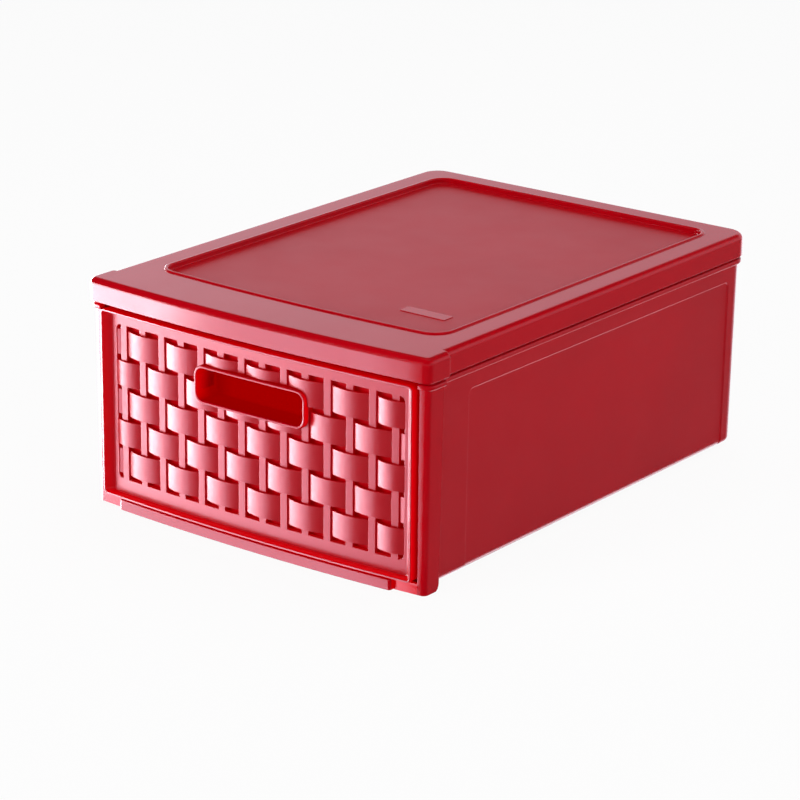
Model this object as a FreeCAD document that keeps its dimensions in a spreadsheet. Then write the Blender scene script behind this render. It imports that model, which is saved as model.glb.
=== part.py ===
import FreeCAD, Part

# Drawer box: an open-fronted housing with a front frame and a top cover, and a drawer that slides
# out of it along -Y. Millimetres. X runs across the front, Y from the front to the rear, Z up.
# The origin is the bottom centre of the whole box.

import math
import os
import re

import Sketcher
from FreeCAD import Vector

# Driving sizes: name, millimetres (angles in degrees, counts as they are), meaning
SIZES = [
    ("overall_width", 260, "across the collar of the cover"),
    ("overall_depth", 350, "from the middle of the front to the rear of the cover"),
    ("overall_height", 145, "from the table to the top of the cover"),
    ("bow_chord", 250, "chord over which the bulge of the front is measured"),
    ("bow_rise", 5.1, "bulge of the front over that chord"),
    ("draft", 0.5, "lean of the moulded walls"),
    ("fit", 0.3, "running gap between loose pieces"),
    ("past", 5, "how far cutting bodies reach past the faces they cut"),
    ("root", 0.5, "how far joined bodies reach into each other"),
    ("seat_gap", 0.1, "gap between bowed faces that sit on each other"),
    ("cover_wall", 2, "thickness of the cover"),
    ("cover_gap", 0.4, "gap between the cover's skirt and what stands inside it"),
    ("skirt_height", 15.4, "height of the cover's skirt"),
    ("collar_step", 2.8, "how far the collar stands out beside the rest of the cover"),
    ("collar_depth", 25.7, "length of the collar from the middle of the front"),
    ("collar_corner", 5, "plan radius of the collar's front corners"),
    ("cover_corner", 14, "plan radius of the cover's rear corners"),
    ("cover_round", 4.6, "rounding of the cover's top edge"),
    ("tray_side", 17.7, "rim beside the sunken field of the cover"),
    ("tray_rear", 19.5, "rim behind the sunken field"),
    ("tray_front", 36, "rim in front of the sunken field"),
    ("tray_depth", 4, "depth of the sunken field"),
    ("tray_corner", 11, "plan radius of the sunken field"),
    ("tray_round", 1.2, "rounding along the edges of the sunken field"),
    ("plate_width", 33, "bare name plate on the sunken field"),
    ("plate_length", 9.5, "its length along the depth"),
    ("plate_height", 0.4, "its height"),
    ("plate_side", 40.5, "its middle, from the right side of the field"),
    ("plate_back", 47, "its middle, behind the front of the field"),
    ("rib_wall", 1.6, "locating rib under the cover"),
    ("rib_drop", 5, "how far the rib reaches down"),
    ("bead_gap", 1.7, "shadow gap between the cover and the bead below it"),
    ("bead_height", 3.4, "height of the bead round the case"),
    ("bead_step", 2, "how far the bead stands out"),
    ("bead_round", 1.2, "rounding of the bead"),
    ("case_wall", 2.2, "thickness of the housing's walls and base"),
    ("case_lift", 3.3, "height of the housing's base above the table"),
    ("case_inset", 0.6, "gap between the skirt and the housing's top edge"),
    ("case_round", 4, "rounding along the bottom of the housing"),
    ("panel_step", 0.7, "how far the side panels stand out"),
    ("panel_front", 41.5, "front end of the side panels, behind the middle of the front"),
    ("panel_rear", 27.5, "their rear end, before the rear of the cover"),
    ("panel_drop", 27.7, "their top, below the top of the cover"),
    ("panel_corner", 8, "radius of their upper corners"),
    ("runner_height", 2, "runners on the base"),
    ("runner_width", 3, "width of a runner"),
    ("runner_inset", 20.4, "runners from the sides of the tub"),
    ("foot_radius", 11, "rear feet under the base"),
    ("foot_side", 34.6, "their distance from the sides of the housing"),
    ("foot_inset", 38, "their distance from the rear of the cover"),
    ("frame_wall", 2.4, "thickness of the front frame"),
    ("frame_gap", 0.5, "gap between the frame and the rear wall of the cover's collar"),
    ("frame_back", 3.8, "how far the posts stand behind the drawer's face"),
    ("post_width", 5.3, "width of a post, seen from the front"),
    ("post_round", 3, "rounding of the posts' outer edge"),
    ("post_toe", 5, "rounding of the posts' rear foot"),
    ("sill_height", 6.8, "height of the sill"),
    ("sill_side", 22.6, "ends of the sill's lip from the sides of the frame"),
    ("face_side", 3.3, "gap between the drawer's front and a post"),
    ("face_lift", 0.8, "gap between the sill and the drawer's front"),
    ("face_drop", 3, "gap between the drawer's front and the cover's skirt"),
    ("face_depth", 9.5, "depth of the drawer's front"),
    ("face_corner", 3, "radius of its corners"),
    ("rim_wall", 1.5, "rim round the drawer's front"),
    ("field_depth", 5.5, "depth of the woven field behind the rim"),
    ("field_wall", 2.5, "thickness of the field"),
    ("field_round", 4, "hollow along the left and right of the field"),
    ("window_side", 9, "weave from the sides of the drawer's front"),
    ("window_lift", 10.9, "weave above the bottom of the drawer's front"),
    ("window_drop", 9.3, "weave below its top"),
    ("window_corner", 3, "radius of the corners of the weave"),
    ("stave_count", 14, "upright staves"),
    ("stave_edge", 6, "middle of the outermost staves from the sides of the weave"),
    ("stave_width", 5.2, "width of a stave"),
    ("stave_wall", 1.6, "thickness of a stave"),
    ("band_rows", 5, "rows of bands"),
    ("row_gap", 3.13, "gap between two rows"),
    ("band_wall", 1.4, "thickness of a band"),
    ("band_crest", 1.6, "how far a band bulges in front of the staves"),
    ("band_sink", 1, "how far its flank lies behind their front beside a stave"),
    ("peg_radius", 2, "pegs that hold the front on the tub"),
    ("peg_edge", 5, "pegs from the side of the drawer's front"),
    ("peg_rise", 20, "pegs from its top and bottom"),
    ("peg_play", 0.15, "gap round a peg"),
    ("grip_width", 85, "width of the grip's rim"),
    ("grip_height", 24, "height of the grip's rim"),
    ("grip_drop", 31, "middle of the grip below the top of the drawer's front"),
    ("grip_back", 2, "how far the rim stands behind the drawer's face"),
    ("grip_wall", 2, "rim of the grip"),
    ("grip_seat", 0.8, "how far the rim reaches past the cup"),
    ("grip_depth", 18, "depth of the cup behind the rim"),
    ("grip_floor", 1.2, "thickness of the cup's floor"),
    ("grip_corner", 7, "radius of the grip's corners"),
    ("grip_margin", 4, "plain field below the grip"),
    ("grip_edge", 1, "plain field beside and above it"),
    ("tub_wall", 2, "thickness of the tub"),
    ("tub_inset", 0.6, "tub narrower than the drawer's front"),
    ("tub_drop", 4.8, "top of the tub's walls below the top of the drawer's front"),
    ("tub_rear", 10, "tub before the rear of the cover"),
    ("tub_corner", 8, "plan radius of the tub's rear corners"),
    ("tub_round", 3, "rounding along the bottom of the tub"),
    ("tub_lip", 1.2, "bead along the tub's top edge"),
    ("stop_catch", 3, "how far the stops on the tub's walls reach up behind the frame's top rail"),
    ("stop_length", 8, "length of a stop"),
    ("drawer_hold", 74, "how much less than the box's depth the drawer slides out"),
    ("rail_gap", 3.2, "gap between the drawer's front and the frame's top rail"),
]

# Sizes that follow from the driving ones
RELATIONS = {
    "front": "-overall_depth / 2",
    "rear": "overall_depth / 2",
    "bow_radius": "(bow_chord ^ 2 / 4 + bow_rise ^ 2) / (2 * bow_rise)",
    "bow_centre": "front + bow_radius",
    "collar_half": "overall_width / 2",
    "collar_rear": "front + collar_depth",
    "cover_half": "collar_half - collar_step",
    "cover_front": "collar_rear - cover_wall - collar_step",
    "skirt_bottom": "overall_height - skirt_height",
    "roof": "overall_height - cover_wall",
    "tray_half": "cover_half - tray_side",
    "tray_floor": "overall_height - tray_depth",
    "bead_top": "skirt_bottom - bead_gap",
    "bead_bottom": "bead_top - bead_height",
    "case_top": "roof - fit",
    "case_half": "cover_half - cover_wall - case_inset",
    "case_rear": "rear - cover_wall - case_inset",
    "case_corner": "cover_corner - cover_wall - case_inset",
    "case_lean": "(case_top - case_lift) * tan(draft)",
    "case_front": "bow_centre - sqrt((bow_radius - frame_back - frame_wall) ^ 2 - case_half ^ 2) + fit",
    "case_floor": "case_lift + case_wall",
    "frame_half": "collar_half - cover_wall - cover_gap",
    "frame_lean": "case_top * tan(draft)",
    "frame_rear": "collar_rear - cover_wall - frame_gap",
    "opening_half": "frame_half - post_width",
    "rail_bottom": "face_top + rail_gap",
    "rail_rear": "bow_centre - sqrt((bow_radius - frame_back - frame_wall) ^ 2 - tub_half ^ 2)",
    "stop_front": "rail_rear + fit + overall_depth - drawer_hold",
    "tub_bottom": "case_floor + runner_height + fit",
    "tub_top": "face_top - tub_drop",
    "tub_height": "tub_top - tub_bottom",
    "tub_back": "rear - tub_rear",
    "tub_front": "face_depth + seat_gap",
    "tub_half": "face_half - tub_inset",
    "tub_lean": "tub_height * tan(draft)",
    "face_half": "opening_half - face_side",
    "face_bottom": "sill_height + face_lift",
    "face_top": "skirt_bottom - face_drop",
    "window_bottom": "face_bottom + window_lift",
    "window_top": "face_top - window_drop",
    "window_half": "face_half - window_side",
    "stave_pitch": "2 * (window_half - stave_edge) / (stave_count - 1)",
    "band_height": "(window_top - window_bottom - row_gap) / band_rows - row_gap",
    "grip_middle": "face_top - grip_drop",
    "grip_half": "grip_width / 2",
    "grip_rise": "grip_height / 2",
    "cup_half": "grip_half - grip_seat",
    "cup_rise": "grip_rise - grip_seat",
    "cup_corner": "grip_corner - grip_seat",
}

NAMES = {name for name, size, meaning in SIZES}

document = FreeCAD.newDocument("DrawerBox")
sheet = document.addObject("Spreadsheet::Sheet", "Sizes")
for row, (name, size, meaning) in enumerate(SIZES, start=1):
    sheet.set(f"A{row}", name)
    sheet.set(f"B{row}", str(size))
    sheet.set(f"C{row}", meaning)
    sheet.setAlias(f"B{row}", name)
document.recompute()


def sized(text):
    """The expression with every relation written out and every size looked up in the sheet."""

    def look_up(match):
        word = match.group(0)
        if word in NAMES:
            return f"Sizes.{word}"
        if word in RELATIONS:
            return f"({sized(RELATIONS[word])})"
        return word

    return re.sub(r"[a-z][a-z_]*", look_up, str(text))


def value(text):
    """The number that an expression stands for."""
    return float(sheet.evalExpression(sized(text)))


def bowed(offset, across):
    """Where the bowed front, set back by an offset, is at a distance from the centre line."""
    return f"bow_centre - sqrt((bow_radius - ({offset})) ^ 2 - ({across}) ^ 2)"


def add(kind, name, **bindings):
    """A new object of the document, with its properties bound to expressions."""
    made = document.addObject(kind, name)
    for key, text in bindings.items():
        made.setExpression(key.replace("__", "."), sized(text))
    return made


def block(name, x, y, z):
    """A box between two expressions along each axis."""
    return add(
        "Part::Box", name,
        Length=f"({x[1]}) - ({x[0]})", Width=f"({y[1]}) - ({y[0]})", Height=f"({z[1]}) - ({z[0]})",
        Placement__Base__x=x[0], Placement__Base__y=y[0], Placement__Base__z=z[0],
    )


def face_block(name, x, z):
    """A box for a shape seen from the front: it runs from before the front to the middle of the box."""
    return block(name, x, ("front - past", "0"), z)


def bow_drum(name, offset, z):
    """The round body whose skin is the bowed front, set back by an offset."""
    return add(
        "Part::Cylinder", name,
        Radius=f"bow_radius - ({offset})", Height=f"({z[1]}) - ({z[0]})",
        Placement__Base__y="bow_centre", Placement__Base__z=z[0],
    )


def bow_slab(name, base, near, far):
    """The part of a base between two offsets behind the bowed front."""
    whole = ("-overall_height", "2 * overall_height")
    front = common(f"{name}_front", base, bow_drum(f"{name}_near", near, whole))
    return cut(name, front, bow_drum(f"{name}_far", far, whole))


def peg(name, radius, x, y, z):
    """A round pin along Y between two expressions."""
    made = add(
        "Part::Cylinder", name, Radius=radius, Height=f"({y[1]}) - ({y[0]})",
        Placement__Base__x=x, Placement__Base__y=y[1], Placement__Base__z=z,
    )
    made.Placement.Rotation = FreeCAD.Rotation(Vector(1, 0, 0), 90)
    return made


def cut(name, base, tool):
    made = document.addObject("Part::Cut", name)
    made.Base = base
    made.Tool = tool
    made.Refine = True
    return made


def common(name, first, second):
    made = document.addObject("Part::Common", name)
    made.Base = first
    made.Tool = second
    return made


def fuse(name, *pieces):
    made = document.addObject("Part::MultiFuse", name)
    made.Shapes = list(pieces)
    made.Refine = True
    return made


def edges_in(shape, along=None, **limits):
    """Numbers of the edges whose box lies within limits, and that run along an axis if one is named."""
    found = []
    for number, edge in enumerate(shape.Edges, start=1):
        box = edge.BoundBox
        span = {
            "x": (box.XMin, box.XMax, box.XLength),
            "y": (box.YMin, box.YMax, box.YLength),
            "z": (box.ZMin, box.ZMax, box.ZLength),
        }
        inside = all(
            span[axis][0] > value(low) - 0.02 and span[axis][1] < value(high) + 0.02
            for axis, (low, high) in limits.items()
        )
        longest = max(span, key=lambda axis: span[axis][2])
        if inside and (along is None or longest == along):
            found.append(number)
    return found


def rounded(name, base, radius, **choice):
    """The base with the chosen edges rounded."""
    document.recompute()
    size = value(radius)
    made = document.addObject("Part::Fillet", name)
    made.Base = base
    made.Edges = [(number, size, size) for number in edges_in(base.Shape, **choice)]
    return made


class Moulding:
    """A body that grows by pads and pockets from plan outlines."""

    def __init__(self, name):
        self.body = document.addObject("PartDesign::Body", name)
        self.name = name
        self.steps = 0

    def step(self, kind, **bindings):
        self.steps += 1
        made = self.body.newObject(kind, f"{self.name}_{self.steps}")
        for key, text in bindings.items():
            made.setExpression(key, sized(text))
        return made

    def plan(self, level, corners, bow=None):
        """A closed outline at a level. Its first side follows the bowed front where bow is its offset."""
        sketch = self.step("Sketcher::SketchObject")
        origin = self.body.Origin.OriginFeatures
        ground = next(feature for feature in origin if feature.Role == "XY_Plane")
        sketch.AttachmentSupport = [(ground, "")]
        sketch.MapMode = "FlatFace"
        sketch.setExpression(".AttachmentOffset.Base.z", sized(level))
        points = [Vector(value(x), value(y), 0) for x, y in corners]
        for side, start in enumerate(points):
            end = points[(side + 1) % len(points)]
            sketch.addGeometry(self.side(start, end, bow if side == 0 else None), False)
        for side in range(len(points)):
            following = (side + 1) % len(points)
            sketch.addConstraint(Sketcher.Constraint("Coincident", side, 2, following, 1))
        for side, (x, y) in enumerate(corners):
            self.bind(sketch, Sketcher.Constraint("DistanceX", -1, 1, side, 1, points[side].x), x)
            self.bind(sketch, Sketcher.Constraint("DistanceY", -1, 1, side, 1, points[side].y), y)
        if bow is not None:
            radius = f"bow_radius - ({bow})"
            self.bind(sketch, Sketcher.Constraint("Radius", 0, value(radius)), radius)
        return sketch

    @staticmethod
    def side(start, end, bow):
        if bow is None:
            return Part.LineSegment(start, end)
        centre = Vector(0, value("bow_centre"), 0)
        circle = Part.Circle(centre, Vector(0, 0, 1), value(f"bow_radius - ({bow})"))
        angles = [math.atan2(point.y - centre.y, point.x) for point in (start, end)]
        return Part.ArcOfCircle(circle, *angles)

    @staticmethod
    def bind(sketch, constraint, text):
        number = sketch.addConstraint(constraint)
        sketch.setExpression(f"Constraints[{number}]", sized(text))

    def pad(self, level, height, corners, bow=None, lean="0"):
        sketch = self.plan(level, corners, bow)
        pad = self.step("PartDesign::Pad", Length=height, TaperAngle=lean)
        pad.Profile = sketch
        return self

    def pocket(self, level, depth, corners, bow=None, lean="0"):
        """A hollow sunk from a level, which narrows downwards by the lean."""
        sketch = self.plan(level, corners, bow)
        document.recompute()
        before = self.body.Shape.Volume
        pocket = self.step("PartDesign::Pocket", Length=depth, TaperAngle=lean)
        pocket.Profile = sketch
        document.recompute()
        if self.body.Shape.Volume > before - 1:
            raise ValueError(f"{pocket.Name} cuts nothing")
        return self

    def round(self, radius, **choice):
        document.recompute()
        base = self.body.Tip
        fillet = self.step("PartDesign::Fillet", Radius=radius)
        fillet.Base = (base, [f"Edge{number}" for number in edges_in(base.Shape, **choice)])
        return self


def rectangle(half, front, rear):
    """Corners of a plan rectangle on the centre line, from the front left anticlockwise."""
    return [(f"-({half})", front), (half, front), (half, rear), (f"-({half})", rear)]


def bowed_plan(half, offset, rear):
    """Corners of a plan whose front is the bowed front set back by an offset."""
    return rectangle(half, bowed(offset, half), rear)


def make_cover():
    """Top cover: a skirted lid with a wider collar at the front and a sunken field on top."""
    skirt = ("skirt_bottom", "skirt_height")
    rear_corners = dict(along="z", y=("0", "rear"))
    front_corners = dict(along="z", y=("front", "front + collar_depth / 2"))
    top_edges = dict(z=("overall_height", "overall_height"))

    deck = Moulding("cover_deck")
    deck.pad(*skirt, rectangle("cover_half", "cover_front", "rear"))
    deck.round("cover_corner", **rear_corners)
    deck.round("cover_round", along="y", **top_edges)

    collar = Moulding("cover_collar")
    collar.pad(*skirt, bowed_plan("collar_half", "0", "collar_rear"), bow="0")
    collar.round("collar_corner", **front_corners)
    collar.round("cover_round", y=("front", "collar_rear - cover_round"), **top_edges)

    below = ("skirt_bottom - past", "skirt_height + past - cover_wall")
    deck_hollow = Moulding("cover_deck_hollow")
    deck_hollow.pad(*below, rectangle("cover_half - cover_wall", "cover_front", "rear - cover_wall"))
    deck_hollow.round("cover_corner - cover_wall", **rear_corners)

    collar_hollow = Moulding("cover_collar_hollow")
    collar_inner = bowed_plan("collar_half - cover_wall", "cover_wall", "collar_rear - cover_wall")
    collar_hollow.pad(*below, collar_inner, bow="cover_wall")
    collar_hollow.round("collar_corner - cover_wall", **front_corners)

    under_tray = Moulding("cover_under_tray")
    grown = bowed_plan("tray_half + cover_wall", "tray_front - cover_wall", "rear - tray_rear + cover_wall")
    under_tray.pad("tray_floor - cover_wall", "tray_depth", grown, bow="tray_front - cover_wall")
    under_tray.round("tray_corner + cover_wall", along="z")

    rib = Moulding("cover_rib")
    rib_half = "case_half - case_wall - fit"
    rib_rear = "case_rear - case_wall - fit"
    rib_corner = "case_corner - case_wall - fit"
    rib_front = "case_front + case_wall"
    rib.pad("roof - rib_drop", "rib_drop", rectangle(rib_half, rib_front, rib_rear))
    rib.round(rib_corner, along="z", y=("0", "rear"))
    rib_inner = rectangle(f"{rib_half} - rib_wall", f"{rib_front} + rib_wall", f"{rib_rear} - rib_wall")
    rib.pocket("roof", "rib_drop", rib_inner)

    tray = Moulding("cover_tray")
    tray_plan = bowed_plan("tray_half", "tray_front", "rear - tray_rear")
    tray.pad("tray_floor", "tray_depth + past", tray_plan, bow="tray_front")
    tray.round("tray_corner", along="z")
    tray.round("tray_round", z=("tray_floor", "tray_floor"))

    plate_x = "tray_half - plate_side"
    plate_y = "front + tray_front + plate_back"
    plate = block(
        "cover_plate",
        (f"{plate_x} - plate_width / 2", f"{plate_x} + plate_width / 2"),
        (f"{plate_y} - plate_length / 2", f"{plate_y} + plate_length / 2"),
        ("tray_floor - root", "tray_floor + plate_height"),
    )

    outer = fuse("cover_outer", deck.body, collar.body)
    hollow = fuse("cover_hollow", deck_hollow.body, collar_hollow.body)
    hollow = cut("cover_hollow_over_tray", hollow, under_tray.body)
    shell = cut("cover_shell", outer, hollow)
    sunk = cut("cover_sunk", shell, tray.body)
    soft = rounded(
        "cover_soft", sunk, "tray_round",
        x=("-tray_half", "tray_half"), y=(bowed("tray_front", "0"), "rear - tray_rear"), **top_edges
    )
    return fuse("top_cover", soft, rib.body, plate)


def make_housing():
    """Housing: side walls, rear wall and base in one moulding, open at the front and the top."""
    height = "case_top - case_lift"

    def walls(name, grow):
        made = Moulding(name)
        plan = rectangle(f"case_half - case_lean + {grow}", "case_front", f"case_rear - case_lean + {grow}")
        made.pad("case_lift", height, plan, lean="draft")
        made.round(f"case_corner + {grow}", along="z", y=("0", "rear"))
        made.round("case_round", along="y", z=("case_lift", "case_lift"))
        return made

    outer = walls("case_walls", "0")
    proud = walls("case_walls_proud", "panel_step")
    panel_box = block(
        "case_panel_box",
        ("-overall_width", "overall_width"),
        ("front + panel_front", "rear - panel_rear"),
        ("0", "overall_height - panel_drop"),
    )
    panel_outline = rounded(
        "case_panel_outline", panel_box, "panel_corner",
        along="x", z=("overall_height - panel_drop", "overall_height - panel_drop"),
    )
    panels = common("case_panels", proud.body, panel_outline)

    bead = Moulding("case_bead")
    bead_half = "case_half + bead_step"
    bead.pad("bead_bottom", "bead_height", rectangle(bead_half, "frame_rear", "case_rear + bead_step"))
    bead.round("case_corner + bead_step", along="z", y=("0", "rear"))
    bead.round("bead_round", along="y")

    inner = Moulding("case_inner")
    inner_half = "case_half - case_wall"
    inner_rear = "case_rear - case_wall"
    inner_plan = rectangle(f"{inner_half} - case_lean", "case_front - past", f"{inner_rear} - case_lean")
    inner.pad("case_floor", f"{height} + past", inner_plan, lean="draft")
    inner.round("case_corner - case_wall", along="z", y=("0", "rear"))

    solid = fuse("case_solid", outer.body, panels, bead.body)
    shell = cut("case_shell", solid, inner.body)
    front_trim = block(
        "case_front_trim",
        ("-overall_width", "overall_width"), ("front - past", "case_front"), ("0", "overall_height"),
    )
    trimmed = cut("case_trimmed", shell, front_trim)

    extras = []
    for side, sign in (("left", "-1"), ("right", "1")):
        middle = f"{sign} * (tub_half - runner_inset)"
        extras.append(block(
            f"case_runner_{side}",
            (f"{middle} - runner_width / 2", f"{middle} + runner_width / 2"),
            ("frame_rear", "case_rear - case_wall - case_lean - runner_width"),
            ("case_floor - root", "case_floor + runner_height"),
        ))
        extras.append(add(
            "Part::Cylinder", f"case_foot_{side}",
            Radius="foot_radius", Height="case_lift + root",
            Placement__Base__x=f"{sign} * (case_half - foot_side)", Placement__Base__y="rear - foot_inset",
        ))
    return fuse("housing", trimmed, *extras)


def make_frame():
    """Front frame: two posts, a bowed sill and a top rail, fitted over the housing's front edge."""
    blank = Moulding("frame_blank")
    blank_plan = rectangle("frame_half - frame_lean", "front - past", "frame_rear - frame_lean")
    blank.pad("0", "case_top", blank_plan, lean="draft")
    blank.round("post_toe", along="x", y=("frame_rear - frame_lean", "frame_rear"), z=("0", "0"))
    height = ("-past", "overall_height")
    bowed_blank = common("frame_bowed", blank.body, bow_drum("frame_drum", "frame_back", height))
    front_corners = dict(along="z", y=("front", "frame_rear - post_toe"))
    outer = rounded("frame_outer", bowed_blank, "post_round", **front_corners)

    bead = Moulding("frame_bead")
    bead_offset = "frame_back - bead_step"
    bead_plan = bowed_plan("frame_half + bead_step", bead_offset, "frame_rear")
    bead.pad("bead_bottom", "bead_height", bead_plan, bow=bead_offset)
    bead.round("post_round + bead_step", **front_corners)
    bead.round("bead_round", along="y")

    lip_block = block("frame_lip_block", ("sill_side - frame_half", "frame_half - sill_side"),
                      ("front - past", "case_front"), ("0", "sill_height"))
    lip = common("frame_lip", lip_block, bow_drum("frame_lip_drum", "0", height))
    through = ("front - past", "frame_rear + past")
    opening = block("frame_opening", ("-opening_half", "opening_half"), through, ("sill_height", "rail_bottom"))
    pocket_block = block("frame_pocket_block", ("frame_wall - frame_half", "frame_half - frame_wall"), through,
                         ("case_lift", "overall_height"))
    inner_drum = bow_drum("frame_inner_drum", "frame_back + frame_wall", height)
    pocket = common("frame_pocket", pocket_block, inner_drum)
    solid = fuse("frame_solid", outer, bead.body, lip)
    return cut("front_frame", cut("frame_open", solid, opening), pocket)


def peg_places():
    """Where the four pegs of the drawer's front are."""
    return [
        (f"{sign} * (face_half - peg_edge)", height)
        for sign in ("-1", "1")
        for height in ("face_bottom + peg_rise", "face_top - peg_rise")
    ]


def grip_outline(name, half, rise, corner):
    """A block with rounded corners round the middle of the grip."""
    z = (f"grip_middle - ({rise})", f"grip_middle + {rise}")
    base = face_block(name + "_block", (f"-({half})", half), z)
    return rounded(name, base, corner, along="y")


def make_tub():
    """Tub of the drawer: a lidless box with a taller front plate and stops on its side walls."""
    height = ("-past", "overall_height")
    base_half = "tub_half - tub_lean"
    inner_front = "tub_front + tub_wall"

    blank = Moulding("tub_blank")
    blank_plan = rectangle(base_half, "front", "tub_back - tub_lean")
    blank.pad("tub_bottom", "tub_height", blank_plan, lean="draft")
    blank.round("tub_corner", along="z", y=("0", "rear"))
    blank.round("tub_round", along="y", z=("tub_bottom", "tub_bottom"))

    lip = Moulding("tub_lip")
    lip.pad("tub_top - tub_lip * 2", "tub_lip * 2",
            rectangle("tub_half + tub_lip", "frame_rear", "tub_back + tub_lip"))
    lip.round("tub_corner + tub_lip", along="z", y=("0", "rear"))

    hollow = Moulding("tub_hollow")
    hollow_plan = rectangle(f"{base_half} - tub_wall", "front", "tub_back - tub_lean - tub_wall")
    hollow.pad("tub_bottom + tub_wall", "tub_height", hollow_plan, lean="draft")
    hollow.round("tub_corner - tub_wall", along="z", y=("0", "rear"))
    hollow.round("tub_round - root", along="y", z=("tub_bottom + tub_wall", "tub_bottom + tub_wall"))

    outer = common("tub_outer", blank.body, bow_drum("tub_drum", "tub_front", height))
    inner = common("tub_inner", hollow.body, bow_drum("tub_inner_drum", inner_front, height))
    plate_z = ("tub_bottom", "face_top - rim_wall")
    plate_block = face_block("tub_plate_block", ("-tub_half", "tub_half"), plate_z)
    plate = bow_slab("tub_plate", plate_block, "tub_front", inner_front)

    stops = []
    for side, sign in (("left", "-1"), ("right", "1")):
        edges = [f"{sign} * tub_half", f"{sign} * (tub_half - tub_wall * 2)"]
        stops.append(block(
            f"tub_stop_{side}", sorted(edges, key=value),
            ("stop_front", "stop_front + stop_length"),
            ("tub_top - tub_wall * 2", "rail_bottom + stop_catch"),
        ))

    shell = cut("tub_shell", fuse("tub_solid", outer, lip.body), inner)
    whole = fuse("tub_whole", shell, plate, *stops)
    cup_hole = grip_outline("tub_cup_hole", "cup_half + fit", "cup_rise + fit", "cup_corner + fit")
    holes = [
        peg(f"tub_peg_hole_{number}", "peg_radius + peg_play", x, ("front", "0"), z)
        for number, (x, z) in enumerate(peg_places(), start=1)
    ]
    return cut("drawer_tub", whole, fuse("tub_holes", cup_hole, *holes))


def on_front(turn, offset):
    """The point of the plan at an angle about the bow's axis, set back by an offset."""
    radius = value("bow_radius") - offset
    return Vector(radius * math.sin(turn), value("bow_centre") - radius * math.cos(turn), 0)


def upright(edges, low, high):
    """A solid between two heights over a closed outline."""
    face = Part.Face(Part.Wire(edges))
    face.translate(Vector(0, 0, low))
    return face.extrude(Vector(0, 0, high - low))


def outline_between(front_arcs, thickness):
    """Edges round a strip: arcs given by three places along its front, and the same arcs set back."""

    def arcs(setback):
        return [
            Part.Arc(*[on_front(turn, offset + setback) for turn, offset in places]).toShape()
            for places in front_arcs
        ]

    ends = []
    for turn, offset in (front_arcs[0][0], front_arcs[-1][2]):
        ends.append(Part.LineSegment(on_front(turn, offset), on_front(turn, offset + thickness)).toShape())
    return arcs(0) + [ends[1]] + arcs(thickness)[::-1] + [ends[0]]


def make_weave():
    """The weave: upright staves, and bands that arch over every second stave, turn about by row."""
    count = int(value("stave_count"))
    radius = value("bow_radius")
    turn = value("stave_pitch") / radius
    half_stave = value("stave_width / 2") / radius
    edge = value("window_half + root") / radius
    field = value("field_depth")
    crest = field - value("band_crest")
    flank = field + value("band_sink")
    behind = field + value("stave_wall")
    bottom = value("window_bottom - root")
    top = value("window_top + root")
    middles = [(stave - (count - 1) / 2) * turn for stave in range(count)]

    solids = []
    for middle in middles:
        places = [(middle - half_stave, field), (middle, field), (middle + half_stave, field)]
        solids.append(upright(outline_between([places], value("stave_wall")), bottom, top))

    for row in range(int(value("band_rows"))):
        over = [(stave + row) % 2 == 1 for stave in range(count)]
        arcs = []
        here = (-edge, field if over[0] else behind)
        for stave, middle in enumerate(middles):
            last = stave == count - 1
            if over[stave]:
                there = (edge, field) if last else (middle + turn - half_stave, flank)
                arcs.append([here, (middle, crest), there])
            else:
                there = (edge, behind) if last else (middle + half_stave, flank)
                arcs.append([here, (middle, behind), there])
            here = there
        high = value("window_top - row_gap") - row * value("row_gap + band_height")
        solids.append(upright(outline_between(arcs, value("band_wall")), high - value("band_height"), high))

    weave = document.addObject("Part::Feature", "front_weave")
    weave.Shape = solids[0].multiFuse(solids[1:])
    weave.Placement = FreeCAD.Placement()
    return weave


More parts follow.
